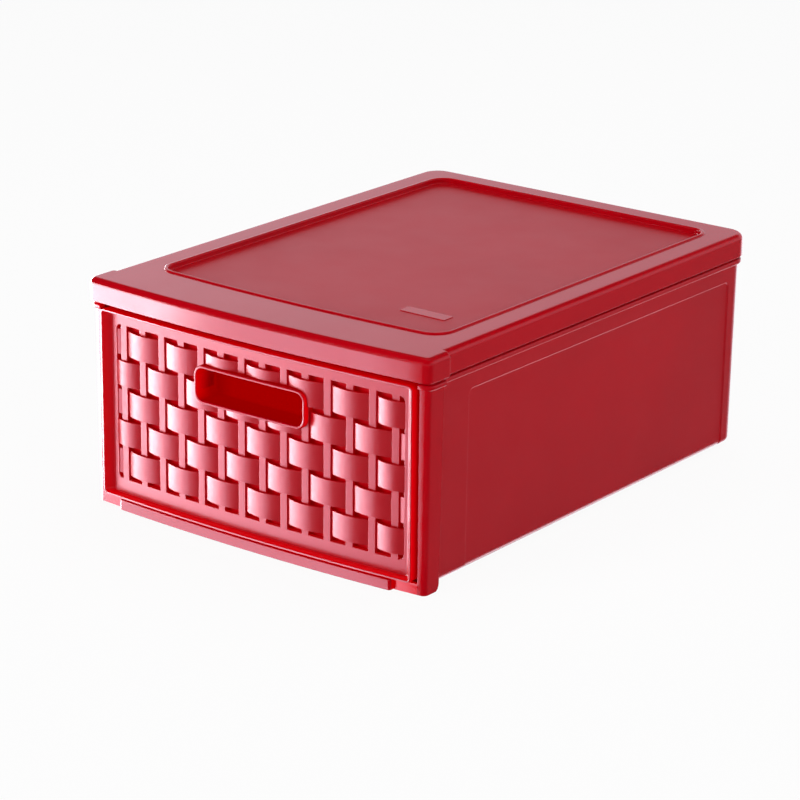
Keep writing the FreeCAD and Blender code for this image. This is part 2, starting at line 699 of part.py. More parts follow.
def make_front():
    """Front of the drawer: a shallow tray with a rim, whose field is woven and holds the grip."""
    blank_block = face_block("front_block", ("-face_half", "face_half"), ("face_bottom", "face_top"))
    blank = rounded("front_blank", blank_block, "face_corner", along="y")
    tray = bow_slab("front_tray", blank, "0", "face_depth")

    inside_x = ("rim_wall - face_half", "face_half - rim_wall")
    inside_z = ("face_bottom + rim_wall", "face_top - rim_wall")
    height = ("-past", "overall_height")
    hollow_block = face_block("front_hollow_block", inside_x, inside_z)
    hollow_cut = cut("front_hollow_cut", hollow_block, bow_drum("front_hollow_drum", "field_depth", height))
    hollow_soft = rounded("front_hollow_soft", hollow_cut, "field_round", along="z",
                          y=("front + rim_wall", "0"))
    hollow = rounded("front_hollow", hollow_soft, "face_corner - rim_wall + root", along="y")
    rear_block = face_block("front_rear_block", inside_x, inside_z)
    rear_drum = bow_drum("front_rear_drum", "field_depth + field_wall", height)
    rear_hollow = common("front_rear_hollow", rear_block, rear_drum)

    window_z = ("window_bottom", "window_top")
    window_block = face_block("front_window_block", ("-window_half", "window_half"), window_z)
    window = rounded("front_window", window_block, "window_corner", along="y")
    openings = fuse("front_openings", hollow, rear_hollow, window)
    rim = cut("front_rim", tray, openings)

    surround_block = face_block(
        "front_surround_block", ("-(grip_half + grip_edge)", "grip_half + grip_edge"),
        ("grip_middle - grip_rise - grip_margin", "grip_middle + grip_rise + grip_edge"),
    )
    surround = bow_slab("front_surround", surround_block, "field_depth", "field_depth + field_wall")
    pegs = [
        peg(f"front_peg_{number}", "peg_radius", x,
            (bowed("field_depth + field_wall - root", x), bowed("tub_front + tub_wall + root", x)), z)
        for number, (x, z) in enumerate(peg_places(), start=1)
    ]
    solid = fuse("front_solid", rim, make_weave(), surround, *pegs)

    seat_block = grip_outline("front_seat_block", "grip_half + peg_play", "grip_rise + peg_play", "grip_corner")
    seat = cut("front_seat", seat_block, bow_drum("front_seat_drum", "field_depth", height))
    cup_hole = grip_outline("front_cup_hole", "cup_half + fit", "cup_rise + fit", "cup_corner + fit")
    return cut("drawer_front", solid, fuse("front_grip_holes", seat, cup_hole))


def make_grip():
    """Grip of the drawer: a rim round a finger cup, set into the woven field."""
    rim_block = grip_outline("grip_rim_outline", "grip_half", "grip_rise", "grip_corner")
    rim = bow_slab("grip_rim", rim_block, "grip_back", "field_depth - seat_gap")
    cup_block = grip_outline("grip_cup_outline", "cup_half", "cup_rise", "cup_corner")
    cup = bow_slab("grip_cup_solid", cup_block, "field_depth - root", "grip_back + grip_depth + grip_floor")
    inside_block = grip_outline(
        "grip_inside_outline", "grip_half - grip_wall", "grip_rise - grip_wall", "grip_corner - grip_wall",
    )
    inside_drum = bow_drum("grip_inside_drum", "grip_back + grip_depth", ("-past", "overall_height"))
    inside = cut("grip_inside", inside_block, inside_drum)
    return cut("grip_cup", fuse("grip_solid", rim, cup), inside)


def make_pieces():
    return {
        "top_cover": make_cover(),
        "housing": make_housing(),
        "front_frame": make_frame(),
        "drawer_tub": make_tub(),
        "drawer_front": make_front(),
        "grip_cup": make_grip(),
    }


def check_and_write(pieces):
    """Stop on any failed object or bad shape, then write one STEP file per piece."""
    document.recompute()
    for made in document.Objects:
        if "Invalid" in made.State or "Error" in made.State:
            raise RuntimeError(f"{made.Name} failed")
    for name, piece in pieces.items():
        piece.Label = name
        if piece.Shape.isNull() or not piece.Shape.isValid():
            raise RuntimeError(f"{name} has no valid shape")
    os.makedirs("parts", exist_ok=True)
    for name, piece in pieces.items():
        piece.Shape.exportStep(f"parts/{name}.step")
        box = piece.Shape.BoundBox
        print(name, len(piece.Shape.Solids), "solid", round(piece.Shape.Volume), "mm3", box)


check_and_write(make_pieces())
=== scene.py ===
import math

import bmesh
import bpy
from bpy.props import FloatProperty, FloatVectorProperty, IntProperty, PointerProperty
from mathutils import Matrix, Vector
from mathutils.geometry import tessellate_polygon


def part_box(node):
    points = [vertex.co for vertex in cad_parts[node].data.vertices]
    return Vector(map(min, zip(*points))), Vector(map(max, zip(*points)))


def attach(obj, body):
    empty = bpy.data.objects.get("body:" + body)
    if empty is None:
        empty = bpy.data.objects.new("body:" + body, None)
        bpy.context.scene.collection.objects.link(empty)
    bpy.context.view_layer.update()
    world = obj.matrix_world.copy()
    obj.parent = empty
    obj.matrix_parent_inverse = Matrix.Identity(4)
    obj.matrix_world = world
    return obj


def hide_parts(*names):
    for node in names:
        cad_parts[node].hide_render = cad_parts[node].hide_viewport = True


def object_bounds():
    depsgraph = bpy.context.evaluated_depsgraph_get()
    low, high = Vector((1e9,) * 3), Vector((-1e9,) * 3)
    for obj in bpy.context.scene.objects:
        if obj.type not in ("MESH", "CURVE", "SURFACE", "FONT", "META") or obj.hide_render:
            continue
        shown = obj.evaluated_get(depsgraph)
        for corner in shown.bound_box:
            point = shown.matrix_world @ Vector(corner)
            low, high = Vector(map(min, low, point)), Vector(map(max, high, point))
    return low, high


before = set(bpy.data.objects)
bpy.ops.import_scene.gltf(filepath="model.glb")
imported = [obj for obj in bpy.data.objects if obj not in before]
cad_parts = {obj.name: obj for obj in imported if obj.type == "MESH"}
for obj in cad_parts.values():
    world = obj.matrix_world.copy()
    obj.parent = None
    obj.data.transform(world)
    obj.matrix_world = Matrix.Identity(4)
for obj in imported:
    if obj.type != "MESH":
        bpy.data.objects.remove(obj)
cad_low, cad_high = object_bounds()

bl_info = {
    "name": "Drawer box",
    "version": (1, 0, 0),
    "blender": (4, 5, 0),
    "location": "View3D > Sidebar > Drawer box",
    "description": "Stackable drawer box with a basket-weave front, built round its CAD frame",
    "category": "Object",
}

MM = 0.001
# Margin for telling whether a place lies before a line
HAIR = 0.1 * MM
FRONT = cad_low.y
REAR = cad_high.y
HALF = cad_high.x
TOP = cad_high.z
cover_low, cover_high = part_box("top_cover")
case_low, case_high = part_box("housing")
frame_low, frame_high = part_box("front_frame")
face_low, face_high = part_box("drawer_front")
grip_low, grip_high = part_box("grip_cup")
tub_low, tub_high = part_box("drawer_tub")


# Sizes and finishes


def length(name, millimetres, description):
    """A size that a user can change."""
    return FloatProperty(
        name=name, description=description, default=millimetres * MM, unit="LENGTH", subtype="DISTANCE",
    )


def angle(name, degrees, description):
    """An angle that a user can change."""
    return FloatProperty(
        name=name, description=description, default=math.radians(degrees), unit="ROTATION", subtype="ANGLE",
    )


def number(name, default, description):
    """A plain number that a user can change."""
    return FloatProperty(name=name, description=description, default=default)


def share(name, default, description):
    """A number between nought and one."""
    return FloatProperty(name=name, description=description, default=default, min=0, max=1)


def colour(name, red, green, blue, description):
    """A colour that a user can change."""
    return FloatVectorProperty(
        name=name, description=description, default=(red, green, blue), size=3, min=0, max=1, subtype="COLOR",
    )


class BoxSizes(bpy.types.PropertyGroup):
    """What all the mouldings share."""

    bow_chord: length("Bow chord", 250, "Chord over which the front bulges")
    bow_rise: length("Bow rise", 5.1, "Bulge of the front over its chord")
    lean: angle("Lean", 0.5, "Draft of the moulded walls")
    edge: length("Edge", 0.35, "Rounding of the moulded edges")
    rest: length("Rest", 2, "Flat border kept beside a rounding, so that it shades cleanly")
    root: length("Root", 0.5, "How far an added part reaches into what carries it")
    past: length("Past", 10, "How far a cutter reaches past what it cuts")


class CoverSizes(bpy.types.PropertyGroup):
    """The lift-off cover."""

    wall: length("Wall", 2, "Thickness of the cover")
    collar_step: length("Collar step", 2.8, "How far the collar stands out at the sides")
    collar_depth: length("Collar depth", 25.7, "Length of the collar from the middle of the front")
    collar_corner: length("Collar corner", 5, "Radius of the collar's front corners")
    least_corner: length("Least corner", 0.4, "Least radius of the collar's corners where they are inset")
    step_round: length("Step edge", 1, "Rounding of the collar's step")
    step_root: length("Step root", 0.3, "Rounding where the step meets the side")
    bow_end: length("Bow end", 8, "How far before the step the plan stops following the bow")
    rear_corner: length("Rear corner", 14, "Radius of the rear corners")
    top_round: length("Top edge", 3.9, "Rounding of the top edge")
    tray_side: length("Rim at the sides", 20.8, "Rim and curb beside the sunken field")
    tray_rear: length("Rim at the rear", 19.8, "Rim and curb behind the sunken field")
    tray_front: length("Rim at the front", 42.5, "Rim and curb in front of the sunken field")
    curb_height: length("Curb height", 0.9, "How far the curb round the field stands up")
    curb_width: length("Curb width", 2.8, "Width of the curb")
    curb_round: length("Curb edge", 1.6, "Width of the rounding of the curb")
    tray_depth: length("Field depth", 4, "Depth of the sunken field")
    tray_corner: length("Field corner", 11, "Radius of the corners of the sunken field")
    tray_round: length("Field edge", 0.9, "Rounding along the edges of the sunken field")
    plate_width: length("Plate width", 33, "Width of the bare name plate")
    plate_length: length("Plate length", 9.5, "Length of the bare name plate")
    plate_height: length("Plate height", 0.4, "Height of the bare name plate")
    grain_front: length("Grain front", 6, "How far before the field its grain reaches, for the bow")
    grain_rear: length("Grain rear", 0.3, "How far behind the field its grain reaches")
    plate_corner: length("Plate corner", 1, "Radius of the plate's corners")
    plate_foot: length("Plate foot", 0.2, "How far the plate's foot spreads")
    plate_across: length("Plate across", 69, "Middle of the plate, across the box")
    plate_along: length("Plate along", -92, "Middle of the plate, along the box")
    rib_drop: length("Rib drop", 5, "How far the locating rib reaches down")
    rib_wall: length("Rib wall", 1.6, "Thickness of the locating rib")
    rib_gap: length("Rib gap", 0.3, "Gap between the locating rib and the housing")


class CaseSizes(bpy.types.PropertyGroup):
    """The housing."""

    wall: length("Wall", 2.2, "Thickness of the housing")
    inset: length("Inset", 2.6, "How far the walls stand in under the cover")
    lift: length("Lift", 3.3, "Height of the base above the table")
    bottom_round: length("Bottom edge", 4, "Rounding along the bottom")
    corner: length("Corner", 11.4, "Radius of the rear corners")
    bead_low: length("Bead bottom", 124.5, "Lower edge of the bead under the cover")
    bead_high: length("Bead top", 127.9, "Upper edge of the bead under the cover")
    bead_step: length("Bead step", 2, "How far the bead stands out")
    bead_round: length("Bead edge", 1.2, "Rounding of the bead")
    bead_root: length("Bead root", 1, "How far the bead reaches into the wall")
    panel_step: length("Panel step", 0.85, "How deep the side panels are sunk")
    panel_front: length("Panel front", -124, "Front end of the side panels")
    panel_rear: length("Panel rear", 155, "Rear end of the side panels")
    panel_top: length("Panel top", 114.8, "Top of the side panels")
    panel_corner: length("Panel corner", 4.5, "Radius of the panels' upper corners")
    panel_wrap: angle("Panel wrap", 78, "How far the panels wrap round the bottom edge")
    runner_side: length("Runner side", 98, "Middle of a runner from the centre line")
    runner_width: length("Runner width", 3, "Width of a runner")
    runner_height: length("Runner height", 2, "Height of a runner")
    foot_radius: length("Foot radius", 11, "Radius of the rear feet")
    foot_round: length("Foot edge", 0.8, "Rounding of the feet")
    foot_rim: length("Foot rim", 2.2, "Width of the ring that a foot stands on")
    foot_slope: length("Foot slope", 0.3, "Width of the slope inside that ring")
    foot_hollow: length("Foot hollow", 0.6, "Depth of the hollow inside that ring")
    foot_side: length("Foot side", 90, "Middle of a foot from the centre line")
    foot_rear: length("Foot rear", 137, "Middle of a foot along the box")


class FrameSizes(bpy.types.PropertyGroup):
    """The front frame."""

    wall: length("Wall", 2.4, "Thickness of the frame")
    inset: length("Inset", 2.4, "How far the posts stand in under the collar")
    bow_start: length("Bow start", 7, "Where the bow starts to fade, behind the middle of the front")
    bow_end: length("Bow end", 1, "Where the bow has faded, before the rear of the frame")
    setback: length("Setback", 3.8, "How far the posts stand behind the drawer's face")
    opening: length("Opening", 120.8, "Half of the opening's width")
    sill: length("Sill", 6.8, "Height of the sill")
    rail: length("Rail", 129.8, "Underside of the top rail")
    post_round: length("Post edge", 3, "Rounding of the posts' outer edge")
    toe: length("Toe", 5, "Rounding of the posts' rear foot")
    lip: length("Lip", 105, "Half of the width of the sill's lip")
    lip_round: length("Lip end", 1.6, "Rounding of the lip's ends")
    lip_edge: length("Lip edge", 0.56, "Rounding along the lip")
    lip_root: length("Lip root", 1, "How far the lip reaches into the sill")
    bead_root: length("Bead root", 0.6, "How far the bead reaches into the posts")


class FaceSizes(bpy.types.PropertyGroup):
    """The drawer's front: its rim and plain field."""

    depth: length("Depth", 9.5, "Depth of the drawer's front")
    corner: length("Corner", 3, "Radius of its corners")
    least_corner: length("Least corner", 1.6, "Least radius of the rim's corners where they are inset")
    rim: length("Rim", 1.5, "Width of the rim")
    rim_round: length("Rim edge", 0.5, "Rounding of the rim")
    field: length("Field depth", 5.5, "Depth of the field behind the rim")
    field_wall: length("Field wall", 2.5, "Thickness of the field")
    field_corner: length("Field corner", 2, "Radius of the field's corners")
    field_border: length("Field border", 0.5, "Flat border beside the side hollow")
    hollow: length("Side hollow", 5, "Hollow along the left and right of the field")
    seam: length("Seam", 0.4, "Hollow along the top and bottom of the field")
    window_side: length("Window side", 9, "Weave from the sides of the front")
    window_low: length("Window bottom", 18.5, "Lower edge of the weave")
    window_high: length("Window top", 117.3, "Upper edge of the weave")
    window_corner: length("Window corner", 3, "Radius of the corners round the weave")
    window_border: length("Window border", 0.6, "Flat border round the weave")
    peg_radius: length("Peg", 2, "Radius of the pegs behind the front")
    peg_side: length("Peg side", 5, "Middle of a peg from the side of the front")
    peg_rise: length("Peg rise", 20, "Middle of a peg from the front's top or bottom")
    peg_end: length("Peg end", 12.1, "End of the pegs behind the middle of the front")


class WeaveSizes(bpy.types.PropertyGroup):
    """The basket weave."""

    staves: IntProperty(name="Staves", description="Number of upright staves", default=14, min=2)
    rows: IntProperty(name="Rows", description="Number of rows of bands", default=5, min=1)
    pitch: length("Pitch", 16, "Distance between two staves")
    stave_width: length("Stave width", 5.2, "Width of a stave")
    stave_wall: length("Stave wall", 1.6, "Thickness of a stave")
    band_height: length("Band height", 16.004, "Height of a band")
    band_wall: length("Band wall", 1.4, "Thickness of a band")
    row_gap: length("Row gap", 3.13, "Gap between two rows")
    crest: length("Crest", 1.6, "How far a band bulges in front of the staves")
    sink: length("Sink", 1, "How far its flank lies behind their front beside a stave")
    covered: length("Covered end", 0.4, "How far a band's end lies behind the field beside a stave in front")
    edge: length("Strip edge", 0.3, "Rounding of the strips")
    tuck: length("Tuck", 0.5, "How far the strips reach into the plain margin")


class GripSizes(bpy.types.PropertyGroup):
    """The finger grip."""

    setback: length("Setback", 2, "How far the rim stands behind the drawer's face")
    corner: length("Corner", 7, "Radius of the grip's corners")
    rim: length("Rim", 2, "Width of the rim")
    rim_round: length("Rim edge", 0.8, "Rounding of the rim")
    seat: length("Seat", 0.8, "How far the rim reaches past the cup")
    depth: length("Depth", 18, "Depth of the cup behind the rim")
    floor: length("Floor", 1.2, "Thickness of the cup's floor")
    floor_round: length("Floor edge", 2, "Rounding round the cup's floor")
    floor_rest: length("Floor rest", 1, "Flat border kept beside that rounding")
    play: length("Play", 0.15, "Gap between the rim and the weave round it")
    fit: length("Fit", 0.3, "Gap between the cup and the hole that it sits in")
    seat_gap: length("Seat gap", 0.1, "Gap between the rim and the field behind it")


class TubSizes(bpy.types.PropertyGroup):
    """The drawer's tub."""

    wall: length("Wall", 2, "Thickness of the tub")
    half: length("Half width", 118.4, "Half of the tub's width at its top")
    top: length("Top", 121.8, "Top of the tub's walls")
    rear: length("Rear", 165, "Rear of the tub at its top")
    corner: length("Corner", 8, "Radius of the rear corners")
    bottom_round: length("Bottom edge", 3, "Rounding along the bottom")
    inner_round: length("Inner edge", 2.5, "Rounding along the bottom, inside")
    lip: length("Lip", 1.2, "Bead along the top edge")
    lip_round: length("Lip edge", 0.72, "Rounding of that bead")
    lip_root: length("Lip root", 0.6, "How far that bead reaches into the wall")
    plate_top: length("Plate top", 125.1, "Top of the taller front plate")
    plate_root: length("Plate root", 3, "How far the plate reaches down into the wall")
    hole_end: length("Hole end", 16, "How far behind the middle of the front the cup's hole is cut")
    stop_width: length("Stop width", 4, "Width of a stop, and how far it reaches below the top")
    stop_round: length("Stop edge", 0.6, "Rounding of a stop's corners")
    stop_front: length("Stop front", 112, "Front end of the stops")
    stop_length: length("Stop length", 8, "Length of a stop")


class Finishes(bpy.types.PropertyGroup):
    """Colours and gloss of the plastic."""

    red: colour("Red", 0.55, 0.0, 0.006, "Colour of the plastic")
    deep: colour("Deep red", 0.43, 0.0, 0.004, "Colour where the plastic is thickest")
    front: colour("Front red", 0.49, 0.0, 0.006, "Colour of the drawer's front, which shines more")
    gloss: share("Gloss", 0.14, "Roughness of the polished mouldings")
    satin: share("Satin", 0.325, "Roughness of the eggshell walls")
    grain: share("Grain", 0.38, "Roughness of the fine-grained sunken field")
    weave: share("Weave", 0.35, "Roughness of the weave and the field round it")
    # Painted glow: these shares set emission that stands in for light passing through the thin plastic,
    # lifting the shade in gaps, hollows and the cup
    passed: share("Light passed", 0.42, "Light that the thin edges of the drawer's front pass on")
    weave_glow: share("Weave glow", 0.1, "Light that the edges of the weave pass on")
    tub_glow: share("Tub glow", 0.11, "Light that the tub's front plate passes on")
    frame_glow: share("Frame glow", 0.22, "Light that the rail and the sill pass on")
    rim_glow: share("Rim glow", 0.45, "Light that the grip's rim passes on")
    cup_glow: share("Cup glow", 0.6, "Light that the cup's left wall passes on")
    cup_least: share("Cup least", 0.24, "Light that all of the cup passes on")
    cup: colour("Cup", 0.16, 0.0, 0.0, "Colour of the bare inside of the cup")
    cover_relief: length("Cover relief", 0.02, "Height of the cover's ripple and grain")
    frame_relief: length("Frame relief", 0.01, "Height of the frame's ripple")
    wall_relief: length("Wall relief", 0.012, "Height of the ripple on the eggshell walls")
    front_relief: length("Front relief", 0.05, "Height of the grain on the drawer's front")
    specular: share("Specular", 0.44, "Strength of the plastic's reflection")
    front_specular: share("Front specular", 0.72, "Strength of the reflection on the drawer's front")
    sheen: colour("Sheen", 1.0, 0.86, 0.99, "Tint of the plastic's reflection")


class StageSettings(bpy.types.PropertyGroup):
    """Camera, floor and lamps."""

    turn: angle("Turn", 37.418, "Camera's turn round the box")
    rise: angle("Rise", 18.229, "Camera's height above the horizon")
    roll: angle("Roll", 0.602, "Camera's roll")
    distance: length("Distance", 1972.8, "Camera from its target")
    lens: number("Lens", 141.8, "Focal length in millimetres")
    shift_across: number("Shift across", -0.00658, "Shift of the picture, across")
    shift_up: number("Shift up", -0.0351, "Shift of the picture, upwards")
    target: FloatVectorProperty(
        name="Target", description="Place that the camera looks at",
        default=(-5.04 * MM, -15.1 * MM, 70 * MM), size=3, unit="LENGTH", subtype="TRANSLATION",
    )
    floor_size: length("Floor", 9000, "Radius of the floor")
    paper: colour("Paper", 0.9, 0.9, 0.9, "Colour of the floor")
    whiteness: share("Whiteness", 0.94, "How far the floor turns to plain white, as seen in the picture")
    sky: colour("Sky", 0.96, 0.9, 1.0, "Tint of the studio's light")
    gloom: number("Gloom", 0.03, "Brightness of the darkest parts of the studio")
    backdrop: number("Backdrop", 0.93, "Brightness of the backdrop behind the box")
    horizon: number("Horizon", 0.85, "Brightness of the strip along the horizon in front of the box")
    table: number("Table", 0.2, "Least brightness of the table behind the box")
    table_rise: number("Table rise", 1.8, "How much brighter the table gets below and to the left")


GROUPS = {
    "box_sizes": BoxSizes,
    "cover_sizes": CoverSizes,
    "case_sizes": CaseSizes,
    "frame_sizes": FrameSizes,
    "face_sizes": FaceSizes,
    "weave_sizes": WeaveSizes,
    "grip_sizes": GripSizes,
    "tub_sizes": TubSizes,
    "box_finishes": Finishes,
    "stage_settings": StageSettings,
}


# Outlines


def bow_radius():
    """Radius of the bowed front."""
    sizes = bpy.context.scene.box_sizes
    return (sizes.bow_chord**2 / 4 + sizes.bow_rise**2) / (2 * sizes.bow_rise)


def sag(across):
    """How far the bowed front lies behind its middle, at a distance from the centre line."""
    radius = bow_radius()
    return radius - math.sqrt(radius**2 - across**2)


def outline(corners):
    """Points of a closed outline, anticlockwise.

    A corner is x, y, radius, steps round it, steps to the next.
    """
    places = [Vector(corner[:2]) for corner in corners]
    arcs = []
    for number, (_, _, radius, steps, _) in enumerate(corners):
        here = places[number]
        if not steps:
            arcs.append([here])
            continue
        back = (places[number - 1] - here).normalized()
        ahead = (places[(number + 1) % len(corners)] - here).normalized()
        half_turn = back.angle(ahead) / 2
        start = back * (radius / math.tan(half_turn))
        centre = (back + ahead).normalized() * (radius / math.sin(half_turn))
        spoke = start - centre
        sweep = (math.pi - 2 * half_turn) * math.copysign(1, ahead.cross(back))
        arcs.append([
            here + centre + Matrix.Rotation(sweep * step / steps, 2) @ spoke
            for step in range(steps + 1)
        ])
    points = []
    for number, arc in enumerate(arcs):
        following = arcs[(number + 1) % len(arcs)][0]
        between = corners[number][4]
        points += arc
        points += [arc[-1].lerp(following, step / between) for step in range(1, between)]
    return points


def box_outline(half, front, rear, front_corner=(0, 0), rear_corner=(0, 0), across=1, along=1):
    """Outline of a rectangle on the centre line. A corner is its radius and steps."""
    return outline([
        (-half, front, *front_corner, across),
        (half, front, *front_corner, along),
        (half, rear, *rear_corner, across),
        (-half, rear, *rear_corner, along),
    ])


def bowed(points, before):
    """The points of a plan, with those in front of a line set back to the bowed front."""
    return [Vector((p.x, p.y + (sag(p.x) if p.y < before else 0))) for p in points]


def level(points, height):
    """A plan outline laid at a height."""
    return [(p.x, p.y, height) for p in points]


def faced(points, offset):
    """An outline seen from the front, set back by an offset behind the middle of the front."""
    return [(p.x, FRONT + offset, p.y) for p in points]


def circle(middle, radius, steps=32):
    """Points of a circle."""
    turns = [2 * math.pi * step / steps for step in range(steps)]
    return [middle + Vector((math.cos(turn), math.sin(turn))) * radius for turn in turns]


def quarter(steps):
    """Sines and one minus the cosines along a quarter turn."""
    turns = [math.pi / 2 * step / steps for step in range(steps + 1)]
    return [(math.sin(turn), 1 - math.cos(turn)) for turn in turns]


# Meshes


class Moulding:
    """A mesh that grows by rings of points."""

    def __init__(self):
        self.mesh = bmesh.new()

    def ring(self, points):
        return [self.mesh.verts.new(point) for point in points]

    def skin(self, first, second, closed=True):
        """Faces between two rings with the same number of points."""
        count = len(first)
        for number in range(count if closed else count - 1):
            after = (number + 1) % count
            self.mesh.faces.new((first[number], first[after], second[after], second[number]))

    def stack(self, outlines, below=None):
        """Skins through a stack of outlines, on from the ring below. Returns the last ring."""
        for points in outlines:
            above = self.ring(points)
            if below:
                self.skin(below, above)
            below = above
        return below

    def cap(self, ring):
        self.mesh.faces.new(ring)

    def web(self, *rings):
        """A flat face between an outer ring and the rings of its holes."""
        everything = [vertex for ring in rings for vertex in ring]
        for corners in tessellate_polygon([[vertex.co for vertex in ring] for ring in rings]):
            self.mesh.faces.new([everything[corner] for corner in corners])

    def shell(self, outlines):
        """A closed body through a stack of outlines."""
        first = self.ring(outlines[0])
        self.cap(first)
        self.cap(self.stack(outlines[1:], first))

    def tube(self, paths):
        """A closed body over paths that run side by side round its profile."""
        rings = [self.ring(path) for path in paths]
        for number, ring in enumerate(rings):
            self.skin(rings[number - 1], ring, closed=False)
        self.cap([ring[0] for ring in rings])
        self.cap([ring[-1] for ring in rings])

    def mirror(self):
        """Adds the mirror image across the centre line."""
        everything = self.mesh.verts[:] + self.mesh.edges[:] + self.mesh.faces[:]
        made = bmesh.ops.duplicate(self.mesh, geom=everything)
        for item in made["geom"]:
            if isinstance(item, bmesh.types.BMVert):
                item.co.x = -item.co.x
        return self

    def add(self, other):
        """Takes in another moulding's mesh."""
        passing = bpy.data.meshes.new("passing")
        other.mesh.to_mesh(passing)
        self.mesh.from_mesh(passing)
        bpy.data.meshes.remove(passing)

    def outward(self):
        """Turns all faces outward."""
        bmesh.ops.recalc_face_normals(self.mesh, faces=self.mesh.faces)
        return self

    def cut(self, *tools):
        """The moulding less the tools."""
        for tool in tools:
            bodies = []
            for part in (self.outward(), tool.outward()):
                mesh = bpy.data.meshes.new("cutting")
                part.mesh.to_mesh(mesh)
                bodies.append(bpy.data.objects.new("cutting", mesh))
                bpy.context.scene.collection.objects.link(bodies[-1])
            change = bodies[0].modifiers.new("cut", "BOOLEAN")
            change.operation = "DIFFERENCE"
            change.solver = "EXACT"
            change.object = bodies[1]
            view = bpy.context.evaluated_depsgraph_get()
            result = bodies[0].evaluated_get(view).to_mesh()
            self.mesh.clear()
            self.mesh.from_mesh(result)
            for body in bodies:
                mesh = body.data
                bpy.data.objects.remove(body)
                bpy.data.meshes.remove(mesh)
        return self

    def soften(self, width, steps=2, sharp=50):
        """Rounds the edges where faces meet at more than an angle in degrees."""
        self.outward()
        bmesh.ops.dissolve_degenerate(self.mesh, dist=1e-7, edges=self.mesh.edges)
        edges = [
            edge for edge in self.mesh.edges
            if len(edge.link_faces) == 2 and edge.calc_face_angle() > math.radians(sharp)
        ]
        bmesh.ops.bevel(
            self.mesh, geom=edges, offset=width, offset_type="OFFSET", segments=steps, profile=0.5,
            affect="EDGES", clamp_overlap=True,
        )
        return self

    def bow(self, spacing=10 * MM):
        """Bends the flat-built moulding to the bowed front."""
        widest = max(abs(vertex.co.x) for vertex in self.mesh.verts)
        for number in range(-int(widest / spacing), int(widest / spacing) + 1):
            everything = self.mesh.verts[:] + self.mesh.edges[:] + self.mesh.faces[:]
            bmesh.ops.bisect_plane(
                self.mesh, geom=everything, dist=1e-7,
                plane_co=(number * spacing, 0, 0), plane_no=(1, 0, 0),
            )
        for vertex in self.mesh.verts:
            vertex.co.y += sag(vertex.co.x)
        return self

    def piece(self, name, body, node, finish):
        """The finished piece, riding on a body in place of a CAD node."""
        self.outward()
        mesh = bpy.data.meshes.new(name)
        self.mesh.to_mesh(mesh)
        self.mesh.free()
        mesh.shade_smooth()
        mesh.set_sharp_from_angle(angle=math.radians(50))
        mesh.materials.append(finish)
        made = bpy.data.objects.new(name, mesh)
        bpy.context.scene.collection.objects.link(made)
        shading = made.modifiers.new("shading", "WEIGHTED_NORMAL")
        shading.keep_sharp = True
        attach(made, body)
        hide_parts(node)
        return made


# Finishes


class Socket:
    """A shader socket that takes part in sums."""

    def __init__(self, finish, socket):
        self.finish = finish
        self.socket = socket

    def maths(self, operation, first, second):
        """Result of a Math node."""
        return self.finish.node("ShaderNodeMath", {"operation": operation}, {0: first, 1: second})

    def __add__(self, other):
        return self.maths("ADD", self, other)

    def __radd__(self, other):
        return self.maths("ADD", other, self)

    def __sub__(self, other):
        return self.maths("SUBTRACT", self, other)

    def __rsub__(self, other):
        return self.maths("SUBTRACT", other, self)

    def __mul__(self, other):
        return self.maths("MULTIPLY", self, other)

    def __rmul__(self, other):
        return self.maths("MULTIPLY", other, self)

    def __gt__(self, other):
        return self.maths("GREATER_THAN", self, other)

    def __lt__(self, other):
        return self.maths("LESS_THAN", self, other)


